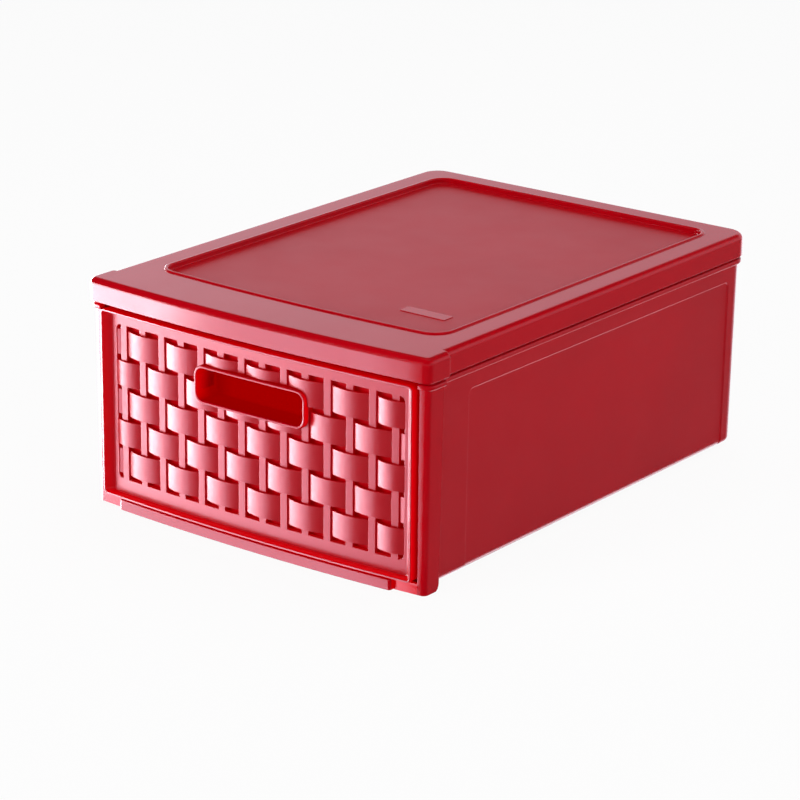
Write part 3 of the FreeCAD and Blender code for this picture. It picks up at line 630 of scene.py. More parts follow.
class Finish:
    """The nodes of a material or of the studio's light."""

    def __init__(self, owner):
        owner.use_nodes = True
        self.owner = owner
        self.tree = owner.node_tree
        self.tree.nodes.clear()

    def node(self, kind, settings=None, inputs=None, output=0):
        """A node with its settings and the values or links of its sockets. Returns one of its outputs."""
        made = self.tree.nodes.new(kind)
        for name, setting in (settings or {}).items():
            setattr(made, name, setting)
        for name, given in (inputs or {}).items():
            if isinstance(given, Socket):
                self.tree.links.new(given.socket, made.inputs[name])
            else:
                made.inputs[name].default_value = given
        return Socket(self, made.outputs[output]) if made.outputs else made

    def place(self):
        """Place on the piece."""
        return self.node("ShaderNodeTexCoord", output="Object")

    def facing(self):
        """Direction that a face looks in."""
        return self.node("ShaderNodeTexCoord", output="Normal")

    def parts(self, vector):
        """The x, y and z of a place or a direction."""
        return [self.node("ShaderNodeSeparateXYZ", None, {0: vector}, axis) for axis in "XYZ"]

    def noise(self, scale, detail=2.0):
        inputs = {"Vector": self.place(), "Scale": scale, "Detail": detail}
        return self.node("ShaderNodeTexNoise", None, inputs)

    def blend(self, share, first, second):
        """A colour between two."""
        inputs = {0: share, 6: first, 7: second}
        return self.node("ShaderNodeMix", {"data_type": "RGBA"}, inputs, 2)

    def spread(self, value, low, high, start, end):
        """A value mapped from one range to another."""
        inputs = {"Value": value, "From Min": low, "From Max": high, "To Min": start, "To Max": end}
        return self.node("ShaderNodeMapRange", None, inputs)

    def within(self, value, low, high):
        """One where a value lies between two limits, nought elsewhere."""
        return (value > low) * (value < high)

    def mottled(self, middle, below, above, scale=40.0):
        """A roughness that wanders a little round its middle value."""
        return self.spread(self.noise(scale), 0.3, 0.7, middle - below, middle + above)

    def depth(self):
        """How far a place lies behind the bowed front."""
        across, along, _ = self.parts(self.place())
        return along - FRONT - across * across * (0.5 / bow_radius())

    def edgeways(self):
        """Nought on faces that look to the front or rear, one on those that look to a side, up or down."""
        along = self.parts(self.facing())[1]
        return 1 - along * along

    def rightward(self):
        """One on faces that look to the right, nought on those that look ahead or to the left."""
        return self.spread(self.parts(self.facing())[0], 0.2, 1.0, 0.0, 1.0)

    def glow(self, share, amount, least=0.0):
        """Shader inputs for a painted glow: emission that stands in for light passing through the plastic."""
        light = self.blend(share, (least, 0, 0, 1), (amount, 0, 0, 1))
        return {"Emission Color": light, "Emission Strength": 1.0}

    def shader(self, base, roughness, **more):
        """Shader of the plastic, with more inputs or other values for them."""
        settings = bpy.context.scene.box_finishes
        return self.node("ShaderNodeBsdfPrincipled", None, {
            "Base Color": base, "Roughness": roughness, "Specular IOR Level": settings.specular,
            "Specular Tint": full(settings.sheen), **more,
        })

    def plastic(self, base, roughness, relief, height, **more):
        """Material of plastic whose surface has a relief of a height."""
        normal = self.node("ShaderNodeBump", None, {"Height": relief, "Distance": height, "Strength": 1.0})
        return self.surface(self.shader(base, roughness, Normal=normal, **more))

    def surface(self, shader):
        """The material, with its surface made by a shader."""
        self.node("ShaderNodeOutputMaterial", {"target": "ALL"}, {"Surface": shader})
        return self.owner


def full(colour):
    """A colour as a shader takes it."""
    return (*colour, 1.0)


def new_finish(name):
    """The nodes of a new material."""
    return Finish(bpy.data.materials.new(name))


def tinted(finish, cloudiness, red=None):
    """The red of the plastic, with the slight cloudiness of a moulding."""
    settings = bpy.context.scene.box_finishes
    cloud = finish.spread(finish.noise(9.0), 0.35, 0.65, 0.0, cloudiness)
    return finish.blend(cloud, full(red or settings.red), full(settings.deep))


def eggshell_plastic(finish, cloudiness, **more):
    """Satin moulded plastic with a faint ripple."""
    settings = bpy.context.scene.box_finishes
    roughness = finish.mottled(settings.satin, 0.03, 0.03, 60.0)
    ripple = finish.noise(110.0, 1.0)
    return finish.plastic(tinted(finish, cloudiness), roughness, ripple, settings.wall_relief, **more)


def case_plastic():
    """Eggshell plastic of the housing."""
    return eggshell_plastic(new_finish("case_plastic"), 0.4)


def tub_plastic():
    """Eggshell plastic, with a painted glow on the front plate behind the weave, standing in for light
    passing through it.
    """
    finish = new_finish("tub_plastic")
    plate = finish.depth() < bpy.context.scene.face_sizes.depth + 1 * MM
    return eggshell_plastic(finish, 0.3, **finish.glow(plate, bpy.context.scene.box_finishes.tub_glow))


def cover_plastic():
    """Polished plastic, with a fine grain on the sunken field."""
    settings = bpy.context.scene.box_finishes
    sizes = bpy.context.scene.cover_sizes
    finish = new_finish("cover_plastic")
    across, along, height = finish.parts(finish.place())
    floor = TOP - sizes.tray_depth
    half = tray_limits(sizes.curb_width)[0]
    front = tray_limits(sizes.grain_front)[1]
    rear = tray_limits(sizes.grain_rear)[2]
    sunk = finish.within(height, floor - 1.5 * MM, floor + 0.2 * MM)
    field = sunk * finish.within(along, front, rear) * finish.within(across, -half, half)
    polish = finish.mottled(settings.gloss, 0.02, 0.04)
    grain = finish.mottled(settings.grain, 0.015, 0.015)
    roughness = polish + (grain - polish) * field
    relief = finish.noise(140.0) * (1 - field) + finish.noise(1400.0) * field
    return finish.plastic(tinted(finish, 0.25), roughness, relief, settings.cover_relief)


def face_plastic(finish, roughness, relief, share, amount):
    """Plastic of the drawer's front, which shines more and has a painted glow standing in for light passing
    through it.
    """
    settings = bpy.context.scene.box_finishes
    more = {"Specular IOR Level": settings.front_specular, **finish.glow(share, amount)}
    base = tinted(finish, 0.2, settings.front)
    return finish.plastic(base, roughness, relief, settings.front_relief, **more)


def front_plastic():
    """Polished rim round a fine-grained field, with a painted glow on its thin edges standing in for light
    passing through them.
    """
    settings = bpy.context.scene.box_finishes
    finish = new_finish("front_plastic")
    depth = finish.depth()
    floor = bpy.context.scene.face_sizes.field
    field = finish.spread(depth, floor - 0.9 * MM, floor - 0.2 * MM, 0.0, 1.0)
    polish = finish.mottled(settings.gloss, 0.0, 0.05)
    roughness = polish + (settings.weave - polish) * field
    # Painted glow on faces that look sideways, up or down, strongest at the rim and weaker deeper in
    edges = finish.edgeways() * finish.spread(depth, 0.3 * MM, 6 * MM, 1.0, 0.45)
    return face_plastic(finish, roughness, finish.noise(1500.0, 1.0) * field, edges, settings.passed)


def woven_plastic():
    """Fine-grained satin of the weave, with a painted glow on the faces of its strips that look sideways, up
    or down.
    """
    settings = bpy.context.scene.box_finishes
    finish = new_finish("woven_plastic")
    roughness = finish.mottled(settings.weave, 0.02, 0.04, 300.0)
    grain = finish.noise(1500.0, 1.0)
    return face_plastic(finish, roughness, grain, finish.edgeways(), settings.weave_glow)


def grip_plastic():
    """Polished rim and a dull cup, whose rough inside takes no shine."""
    settings = bpy.context.scene.box_finishes
    finish = new_finish("grip_plastic")
    across = finish.parts(finish.place())[0]
    depth = finish.depth()
    half = grip_high.x - bpy.context.scene.grip_sizes.rim
    cup = finish.spread(depth, 2.6 * MM, 4.2 * MM, 0.0, 1.0) * finish.within(across, -half, half)
    # Painted glow on faces that look to the right, strongest near the front, standing in for light passing
    # through the rim and the cup's left wall
    glow_share = finish.rightward() * finish.spread(depth, 2 * MM, 14 * MM, 1.0, 0.1)
    polished = finish.shader(tinted(finish, 0.25), settings.gloss, **finish.glow(glow_share, settings.rim_glow))
    bare = finish.node("ShaderNodeBsdfPrincipled", None, {
        "Base Color": full(settings.cup), "Roughness": 0.9, "Specular IOR Level": 0.0,
        # The cup's inside also has a painted glow all over, which lifts its shade
        **finish.glow(glow_share, settings.cup_glow, settings.cup_least),
    })
    return finish.surface(finish.node("ShaderNodeMixShader", None, {0: cup, 1: polished, 2: bare}))


def frame_plastic():
    """Polished plastic, with a painted glow on the rail and the top of the sill, standing in for light
    passing through them into the shade under the lid and the drawer.
    """
    settings = bpy.context.scene.box_finishes
    sizes = bpy.context.scene.frame_sizes
    finish = new_finish("frame_plastic")
    across, _, height = finish.parts(finish.place())
    opening = finish.within(across, -sizes.opening, sizes.opening)
    # Painted glow in the shaded gap under the lid, left of the opening's right side, and on the sill's top in
    # the shade under the drawer
    under_lid = (height > face_high.z - 1 * MM) * (across < sizes.opening)
    under_drawer = opening * (height < sizes.sill + 1 * MM) * (finish.depth() > 1.5 * MM)
    roughness = finish.mottled(settings.gloss, 0.03, 0.04)
    glow = finish.glow(under_lid + under_drawer, settings.frame_glow)
    return finish.plastic(tinted(finish, 0.2), roughness, finish.noise(160.0), settings.frame_relief, **glow)


# Pieces


def lid_outline(inset, step):
    """Plan of the cover at an inset, with the collar's step at a place along the box."""
    sizes = bpy.context.scene.cover_sizes
    collar = HALF - inset
    deck = HALF - sizes.collar_step - inset
    front_radius = max(sizes.collar_corner - inset, sizes.least_corner)
    rear_radius = sizes.rear_corner - inset
    points = outline([
        (-collar, FRONT + inset, front_radius, 6, 26),
        (collar, FRONT + inset, front_radius, 6, 2),
        (collar, step, sizes.step_round, 5, 1),
        (deck, step, sizes.step_root, 2, 12),
        (deck, REAR - inset, rear_radius, 10, 10),
        (-deck, REAR - inset, rear_radius, 10, 12),
        (-deck, step, sizes.step_root, 2, 1),
        (-collar, step, sizes.step_round, 5, 2),
    ])
    return bowed(points, step - sizes.bow_end)


def tray_limits(grow):
    """Half width, front and rear of the sunken field, grown by an amount."""
    sizes = bpy.context.scene.cover_sizes
    half = HALF - sizes.collar_step - sizes.tray_side + grow
    return half, FRONT + sizes.tray_front - grow, REAR - sizes.tray_rear + grow


def tray_outline(grow):
    """Plan of the sunken field, grown by an amount."""
    half, front, rear = tray_limits(grow)
    corner = (bpy.context.scene.cover_sizes.tray_corner + grow, 8)
    points = box_outline(half, front, rear, corner, corner, 22, 4)
    return bowed(points, front + corner[0] + HAIR)


def plate_outline(inset):
    """Plan of the bare name plate, at an inset."""
    sizes = bpy.context.scene.cover_sizes
    corner = (sizes.plate_corner - inset, 4)
    half_length = sizes.plate_length / 2 - inset
    points = box_outline(sizes.plate_width / 2 - inset, -half_length, half_length, corner, corner)
    middle = Vector((sizes.plate_across, sizes.plate_along))
    return [middle + point for point in points]


def make_cover():
    """The cover: its skirt and top, the sunken field with the plate, and the rib inside."""
    sizes = bpy.context.scene.cover_sizes
    shared = bpy.context.scene.box_sizes
    edge, rest = shared.edge, shared.rest
    bottom = cover_low.z
    step = FRONT + sizes.collar_depth
    roof = TOP - sizes.wall
    deck = TOP - sizes.curb_height
    cover = Moulding()

    rings = [level(lid_outline(edge - edge * s, step), bottom + edge * c) for s, c in quarter(3)]
    rings += [
        level(lid_outline(sizes.top_round * c, step), deck - sizes.top_round * (1 - s))
        for s, c in quarter(9)
    ]
    rings.append(level(lid_outline(sizes.top_round + rest, step), deck))
    first = cover.ring(rings[0])
    rim = cover.stack(rings[1:], first)

    soft = sizes.tray_round
    floor = TOP - sizes.tray_depth
    rings = [level(tray_outline(sizes.curb_width + rest), deck)]
    rings += [
        level(tray_outline(sizes.curb_width - sizes.curb_round * c), deck + sizes.curb_height * s)
        for s, c in quarter(6)
    ]
    rings += [level(tray_outline(soft * (1 - s)), TOP - soft * c) for s, c in quarter(5)]
    rings += [level(tray_outline(-soft * c), floor + soft * (1 - s)) for s, c in quarter(5)]
    rings.append(level(tray_outline(-soft - rest), floor))
    lip = cover.ring(rings[0])
    cover.web(rim, lip)
    field = cover.stack(rings[1:], lip)
    soft = sizes.plate_height / 2
    plate = cover.ring(level(plate_outline(-sizes.plate_foot), floor))
    cover.web(field, plate)
    plate_top = floor + sizes.plate_height
    rings = [level(plate_outline(soft * c), plate_top - soft * (1 - s)) for s, c in quarter(3)]
    cover.cap(cover.stack(rings, plate))

    wall = sizes.wall
    rings = [
        level(lid_outline(wall - edge * (1 - s), step - wall), bottom + edge * c) for s, c in quarter(3)
    ]
    inner_first = cover.ring(rings[0])
    cover.skin(first, inner_first)
    ceiling = cover.stack(rings[1:] + [level(lid_outline(wall, step - wall), roof)], inner_first)

    case = bpy.context.scene.case_sizes
    gap = case.wall + sizes.rib_gap
    half = case_half() - gap
    front = case_low.y + case.wall
    rear = case_rear() - gap
    corner = case.corner - gap
    rib = [
        box_outline(half - d, front + d, rear - d, (0, 0), (corner - d, 8)) for d in (0, sizes.rib_wall)
    ]
    outer_rib = cover.ring(level(rib[0], roof))
    cover.web(ceiling, outer_rib)
    tip = roof - sizes.rib_drop
    inner_rib = cover.stack([level(rib[0], tip), level(rib[1], tip), level(rib[1], roof)], outer_rib)
    under = cover.ring(level(tray_outline(wall), roof))
    cover.web(inner_rib, under)
    cover.cap(cover.stack([level(tray_outline(wall), floor - wall)], under))
    return cover.piece("top_cover", "cover", "top_cover", cover_plastic())


def case_half():
    """Half of the housing's width at its top."""
    scene = bpy.context.scene
    return HALF - scene.cover_sizes.collar_step - scene.case_sizes.inset


def case_rear():
    """Rear of the housing at its top."""
    return REAR - bpy.context.scene.case_sizes.inset


def lean(height):
    """How far a wall stands in at a height, because of its draft."""
    return (case_high.z - height) * math.tan(bpy.context.scene.box_sizes.lean)


def case_outline(height, inset, front):
    """Plan of the housing at a height, at an inset."""
    corner = (bpy.context.scene.case_sizes.corner - inset, 10)
    inset += lean(height)
    return box_outline(case_half() - inset, front, case_rear() - inset, (0, 0), corner)


def bead_profile(low, high, step, soft, root):
    """Places round a bead's profile: distance from the wall and height."""
    under = [(step - soft + soft * s, low + soft * c) for s, c in quarter(5)]
    over = [(step - soft * c, high - soft + soft * s) for s, c in quarter(5)]
    return [(-root, low)] + under + over + [(-root, high)]


def case_bead(root):
    """Places round the profile of the bead under the cover."""
    sizes = bpy.context.scene.case_sizes
    return bead_profile(sizes.bead_low, sizes.bead_high, sizes.bead_step, sizes.bead_round, root)


def make_housing():
    """The housing: its walls and base with the sunk panels, the bead, the runners and the feet."""
    sizes = bpy.context.scene.case_sizes
    shared = bpy.context.scene.box_sizes
    edge = shared.edge
    base, top, front = sizes.lift, case_high.z, case_low.y
    case = Moulding()
    soft = sizes.bottom_round
    rings = [
        level(case_outline(base + soft * c, soft * (1 - s), front), base + soft * c)
        for s, c in quarter(6)
    ]
    rings.append(level(case_outline(top, 0, front), top))
    case.shell(rings)
    inner = Moulding()
    floor = base + sizes.wall
    ahead = front - shared.past
    rings = []
    for s, c in quarter(4):
        height = floor + soft / 2 * c
        rings.append(level(case_outline(height, sizes.wall + soft / 2 * (1 - s), ahead), height))
    rings.append(level(case_outline(top, sizes.wall, ahead), top))
    rings.append(level(case_outline(top, sizes.wall, ahead), top + shared.past))
    inner.shell(rings)
    panel = Moulding()
    rings = [side_panel(inset * MM, -down * sizes.panel_step) for inset, down in PANEL_EDGE]
    first = panel.ring(rings[0])
    close_panel(panel, first)
    close_panel(panel, panel.stack(rings[1:], first))
    case.cut(inner, panel.outward().mirror()).soften(edge)

    bead = Moulding()
    start = frame_high.y
    paths = []
    for out, height in case_bead(sizes.bead_root):
        plan = box_outline(
            case_half() + out, start, case_rear() + out, (0, 0), (sizes.corner + out, 10)
        )
        paths.append(level(plan[1:] + plan[:1], height))
    bead.tube(paths)
    case.add(bead.soften(edge))

    extras = Moulding()
    rear = case_rear() - sizes.wall - lean(0) - sizes.runner_width
    half = sizes.runner_width / 2
    tall = floor + sizes.runner_height
    runner = [(0, floor - shared.root)] + [(edge * c, tall - edge * (1 - s)) for s, c in quarter(3)]
    extras.shell([
        level([p + Vector((sizes.runner_side, 0)) for p in box_outline(half - d, start + d, rear - d)], z)
        for d, z in runner
    ])
    soft = sizes.foot_round
    foot = [(sizes.foot_rim + sizes.foot_slope, sizes.foot_hollow), (sizes.foot_rim, 0)]
    foot += [(soft * (1 - s), soft * c) for s, c in quarter(4)]
    foot.append((0, base + shared.root))
    middle = Vector((sizes.foot_side, sizes.foot_rear))
    extras.shell([level(circle(middle, sizes.foot_radius - d), z) for d, z in foot])
    case.add(extras.outward().mirror())
    return case.piece("housing", "case", "housing", case_plastic())


# Edge of a sunk panel: inset in millimetres and share of its depth, from outside the wall to its flat
PANEL_EDGE = [(-1.2, -1.6), (-0.35, -0.25), (0.3, 0.25), (0.7, 0.7), (1.0, 0.93), (1.4, 1.0), (3.0, 1.0)]
# Strips in which a panel wraps round the bottom edge
PANEL_ROWS = 7


def side_panel(inset, out):
    """Outline of the sunk side panel, which follows the wall and wraps round its bottom edge."""
    sizes = bpy.context.scene.case_sizes
    soft = sizes.bottom_round
    turn = sizes.lift + soft
    low = turn - soft * sizes.panel_wrap + inset
    middle = (sizes.panel_front + sizes.panel_rear) / 2
    half = (sizes.panel_rear - sizes.panel_front) / 2 - inset
    rows = [low + (turn - low) * row / PANEL_ROWS for row in range(PANEL_ROWS + 1)]
    top = sizes.panel_top - inset
    corners = [(half, row, 0, 0, 1) for row in rows]
    corners += [(side, top, sizes.panel_corner - inset, 8, 1) for side in (half, -half)]
    corners += [(-half, row, 0, 0, 1) for row in rows[::-1]]
    placed = []
    for point in outline(corners):
        drop = max(turn - point.y, 0) / soft
        height = max(point.y, turn) - soft * math.sin(drop)
        side = case_half() - lean(max(height, turn)) - soft * (1 - math.cos(drop)) + out
        placed.append((side, middle + point.x, height))
    return placed


def close_panel(panel, ring):
    """Closes a panel's ring: strips round the bottom edge and one flat above."""
    for row in range(PANEL_ROWS):
        panel.mesh.faces.new((ring[row], ring[row + 1], ring[-2 - row], ring[-1 - row]))
    panel.mesh.faces.new(ring[PANEL_ROWS : len(ring) - PANEL_ROWS])


def frame_outline(height, rear):
    """Plan of the front frame's outside at a height."""
    sizes = bpy.context.scene.frame_sizes
    half = frame_half() - lean(height)
    points = box_outline(half, FRONT + sizes.setback, rear, (sizes.post_round, 7), (0, 0), 26, 2)
    return flanged(points)


def flanged(points):
    """Points of the frame's plan, bowed at the front and straight at the rear."""
    sizes = bpy.context.scene.frame_sizes
    start, end = FRONT + sizes.bow_start, frame_high.y - sizes.bow_end
    moved = []
    for point in points:
        weight = min(max((end - point.y) / (end - start), 0), 1)
        moved.append(Vector((point.x, point.y + sag(point.x) * weight)))
    return moved


def frame_half():
    """Half of the front frame's width at its top."""
    return HALF - bpy.context.scene.frame_sizes.inset


def make_frame():
    """The front frame: its posts, rail and sill, the bead and the sill's lip."""
    sizes = bpy.context.scene.frame_sizes
    shared = bpy.context.scene.box_sizes
    edge = shared.edge
    body = Moulding()
    rings = []
    for s, c in quarter(6):
        height = sizes.toe * c
        rear = frame_high.y - lean(height) - sizes.toe * (1 - s)
        rings.append(level(frame_outline(height, rear), height))
    rings.append(level(frame_outline(frame_high.z, frame_high.y), frame_high.z))
    body.shell(rings)

    inside = frame_half() - sizes.wall
    behind = FRONT + sizes.setback + sizes.wall
    past = frame_high.y + shared.past
    pocket = Moulding()
    plan = flanged(box_outline(inside, behind, past, (0, 0), (0, 0), 26, 1))
    floor = bpy.context.scene.case_sizes.lift
    pocket.shell([level(plan, floor), level(plan, frame_high.z + shared.past)])
    opening = Moulding()
    plan = box_outline(sizes.opening, FRONT - shared.past, past)
    opening.shell([level(plan, sizes.sill), level(plan, sizes.rail)])
    body.cut(pocket, opening).soften(edge)

    bead = Moulding()
    paths = []
    for out, height in case_bead(sizes.bead_root):
        half = frame_half() + out
        front = FRONT + sizes.setback - out
        plan = outline([
            (sizes.opening, front, 0, 0, 2),
            (half, front, sizes.post_round + out, 8, 2),
            (half, frame_high.y, 0, 0, 1),
            (sizes.opening, frame_high.y, 0, 0, 1),
        ])
        paths.append(level(flanged(plan[:-1]), height))
    bead.tube(paths)
    body.add(bead.soften(edge).outward().mirror())

    lip = Moulding()
    soft = sizes.lip_edge
    low = [(soft * (1 - s), soft * c) for s, c in quarter(3)]
    high = [(soft * c, sizes.sill - soft * (1 - s)) for s, c in quarter(3)]
    back = FRONT + sizes.setback + sizes.lip_root
    rings = []
    for inset, height in low + high:
        plan = box_outline(sizes.lip - inset, FRONT + inset, back, (sizes.lip_round, 5), (0, 0), 22, 1)
        rings.append(level(bowed(plan, 0), height))
    lip.shell(rings)
    body.add(lip)
    return body.piece("front_frame", "case", "front_frame", frame_plastic())


def face_outline(inset_across, inset_up, radius):
    """Outline of the drawer's front, seen from the front."""
    half = face_high.x - inset_across
    corner = (radius, 6)
    return box_outline(half, face_low.z + inset_up, face_high.z - inset_up, corner, corner)


def window_outline(grow):
    """Outline of the opening that the weave fills, grown by an amount."""
    sizes = bpy.context.scene.face_sizes
    corner = (sizes.window_corner + grow, 5)
    half = face_high.x - sizes.window_side + grow
    return box_outline(half, sizes.window_low - grow, sizes.window_high + grow, corner, corner)


# Tip of a peg: inset and distance before its end, in millimetres
PEG_TIP = [(0.0, 0.8), (0.25, 0.2), (0.7, 0.0)]
# Slope from the rim to the field, as shares of its width and depth
HOLLOW = [(0.2, 0.27), (0.4, 0.53), (0.58, 0.74), (0.72, 0.87), (0.84, 0.95), (0.93, 0.99), (1.0, 1.0)]


def hollow_ring(out, down):
    """Ring of the slope between rim and field: wide at the sides, tight above and below."""
    sizes = bpy.context.scene.face_sizes
    across = sizes.rim + sizes.hollow * out
    up = sizes.rim + sizes.seam * out
    offset = sizes.rim_round + (sizes.field - sizes.rim_round) * down
    return faced(face_outline(across, up, sizes.field_corner), offset)


def rim_ring(inset, offset):
    """Ring round the rim of the drawer's front."""
    sizes = bpy.context.scene.face_sizes
    return faced(face_outline(inset, inset, max(sizes.corner - inset, sizes.least_corner)), offset)


def make_front():
    """The drawer's front: its rim, the slope, the field round the weave and the pegs."""
    sizes = bpy.context.scene.face_sizes
    shared = bpy.context.scene.box_sizes
    soft, edge = sizes.rim_round, shared.edge
    rear, back = sizes.depth, sizes.field + sizes.field_wall
    front = Moulding()

    first = front.ring(rim_ring(edge, rear))
    rings = [rim_ring(edge * (1 - s), rear - edge * c) for s, c in quarter(3)[1:]]
    rings += [rim_ring(soft * c, soft * (1 - s)) for s, c in quarter(4)]
    rings += [rim_ring(sizes.rim - soft * (1 - s), soft * c) for s, c in quarter(4)]
    rings += [hollow_ring(out, down) for out, down in HOLLOW]
    hollow = front.stack(rings, first)
    across = sizes.rim + sizes.hollow + sizes.field_border
    up = sizes.rim + sizes.seam + shared.rest
    border = front.stack([faced(face_outline(across, up, sizes.field_corner), sizes.field)], hollow)
    rings = [faced(window_outline(edge + sizes.window_border), sizes.field)]
    rings += [faced(window_outline(edge * (1 - s)), sizes.field + edge * c) for s, c in quarter(3)]
    rings.append(faced(window_outline(0), back))
    window = front.ring(rings[0])
    front.web(border, window)
    window = front.stack(rings[1:], window)
    inner = front.ring(rim_ring(sizes.rim, back))
    front.web(inner, window)
    front.skin(front.stack([rim_ring(sizes.rim, rear)], inner), first)

    pegs = Moulding()
    profile = [(0, back - shared.root)]
    profile += [(inset * MM, sizes.peg_end - before * MM) for inset, before in PEG_TIP]
    for height in (face_low.z + sizes.peg_rise, face_high.z - sizes.peg_rise):
        middle = Vector((face_high.x - sizes.peg_side, height))
        pegs.shell([
            faced(circle(middle, sizes.peg_radius - inset, 20), offset) for inset, offset in profile
        ])
    front.add(pegs.outward().mirror())
    front.outward().bow()
    return front.piece("drawer_front", "drawer", "drawer_front", front_plastic())


def band(path, low, high, wall, edge):
    """A woven band: a path of across and offset, between two heights, with rounded front edges."""
    made = Moulding()
    edges = [(edge * (1 - s), edge * c) for s, c in quarter(3)]
    loop = [(back, low + up) for back, up in edges]
    loop += [(back, high - up) for back, up in edges[::-1]]
    loop += [(wall, high), (wall, low)]
    made.tube([[(x, FRONT + offset + back, z) for x, offset in path] for back, z in loop])
    return made


def arch(start, middle, end, steps):
    """Points of an arc through three places of across and offset."""
    (x0, y0), (x1, y1), (x2, y2) = start, middle, end
    points = []
    for step in range(steps + 1):
        t = step / steps
        x = x0 + (x2 - x0) * t
        first = (x - x1) * (x - x2) / ((x0 - x1) * (x0 - x2))
        second = (x - x0) * (x - x2) / ((x1 - x0) * (x1 - x2))
        third = (x - x0) * (x - x1) / ((x2 - x0) * (x2 - x1))
        points.append((x, y0 * first + y1 * second + y2 * third))
    return points


def grip_outline(inset):
    """Outline of the grip, seen from the front, at an inset."""
    sizes = bpy.context.scene.grip_sizes
    middle = (grip_low.z + grip_high.z) / 2
    rise = (grip_high.z - grip_low.z) / 2 - inset
    corner = (sizes.corner - inset, 8)
    return box_outline(grip_high.x - inset, middle - rise, middle + rise, corner, corner)


def grip_block(grow, front, back):
    """A body with the grip's outline, for cutting."""
    block = Moulding()
    block.shell([faced(grip_outline(-grow), offset) for offset in (front, back)])
    return block


def make_weave():
    """The weave: upright staves, and rows of bands that pass before and behind them."""
    sizes = bpy.context.scene.weave_sizes
    face = bpy.context.scene.face_sizes
    grip = bpy.context.scene.grip_sizes
    half_stave = sizes.stave_width / 2
    edge = face_high.x - face.window_side + sizes.tuck
    middles = [(number - (sizes.staves - 1) / 2) * sizes.pitch for number in range(sizes.staves)]
    crest, flank = face.field - sizes.crest, face.field + sizes.sink
    behind = face.field + sizes.stave_wall
    past = bpy.context.scene.box_sizes.past
    seat = grip_block(grip.play, -past, face.field - grip.seat_gap / 2)
    hole = grip_block(grip.fit - grip.seat, -past, 3 * past)
    near = 1 * MM
    weave = Moulding()

    def fit(part, left, right, low, high):
        """Adds a part to the weave, cut round the grip if it reaches there."""
        beside = left > grip_high.x + near or right < grip_low.x - near
        if not (beside or low > grip_high.z + near or high < grip_low.z - near):
            part.cut(seat, hole)
        weave.add(part.outward())

    low, high = face.window_low - sizes.tuck, face.window_high + sizes.tuck
    for middle in middles:
        soft = sizes.edge
        left, right = middle - half_stave, middle + half_stave
        edges = [(soft * c, face.field + soft * (1 - s)) for s, c in quarter(3)]
        loop = [(left + x, y) for x, y in edges] + [(right - x, y) for x, y in edges[::-1]]
        loop += [(right, behind), (left, behind)]
        stave = Moulding()
        stave.tube([[(x, FRONT + y, low), (x, FRONT + y, high)] for x, y in loop])
        fit(stave, left, right, low, high)

    covered = face.field + sizes.covered
    for row in range(sizes.rows):
        path = [(-edge, face.field if row % 2 else covered)]
        for number, middle in enumerate(middles):
            last = number == sizes.staves - 1
            if (number + row) % 2:
                end = (edge, face.field) if last else (middle + sizes.pitch - half_stave, flank)
                path += arch(path[-1], (middle, crest), end, 18)[1:]
            elif number == 0:
                start = (middle - half_stave + sizes.edge, flank)
                path += [start, (middle, behind), (middle + half_stave, flank)]
            elif last:
                path += [(middle, behind), (middle + half_stave - sizes.edge, flank), (edge, covered)]
            else:
                path += arch(path[-1], (middle, behind), (middle + half_stave, flank), 5)[1:]
        top = face.window_high - sizes.row_gap - row * (sizes.row_gap + sizes.band_height)
        bottom = top - sizes.band_height
        fit(band(path, bottom, top, sizes.band_wall, sizes.edge), -edge, edge, bottom, top)

    weave.bow()
    return weave.piece("front_weave", "drawer", "drawer_front", woven_plastic())


def make_grip():
    """The grip: its rim and the closed cup behind it."""
    sizes = bpy.context.scene.grip_sizes
    face = bpy.context.scene.face_sizes
    soft = sizes.rim_round
    edge = bpy.context.scene.box_sizes.edge
    near, seat = sizes.setback, face.field - sizes.seat_gap
    deep = near + sizes.depth
    back = deep + sizes.floor
    grip = Moulding()
    last = [faced(grip_outline(sizes.seat + edge * c), back - edge * (1 - s)) for s, c in quarter(3)]
    rings = last[::-1]
    rings += [faced(grip_outline(sizes.seat), seat), faced(grip_outline(0), seat)]
    rings += [faced(grip_outline(soft * c), near + soft * (1 - s)) for s, c in quarter(5)]
    rings += [faced(grip_outline(sizes.rim - soft * (1 - s)), near + soft * c) for s, c in quarter(5)]
    under = sizes.floor_round
    rings += [faced(grip_outline(sizes.rim + under * c), deep - under * (1 - s)) for s, c in quarter(5)]
    rings.append(faced(grip_outline(sizes.rim + under + sizes.floor_rest), deep))
    grip.shell(rings)
    grip.outward().bow()
    return grip.piece("grip_cup", "drawer", "grip_cup", grip_plastic())


def tub_outline(height, inset, front):
    """Plan of the tub at a height, at an inset, bowed at the front."""
    sizes = bpy.context.scene.tub_sizes
    corner = (sizes.corner - inset, 8)
    inset += (sizes.top - height) * math.tan(bpy.context.scene.box_sizes.lean)
    points = box_outline(sizes.half - inset, front, sizes.rear - inset, (0, 0), corner, 24)
    return bowed(points, front + HAIR)


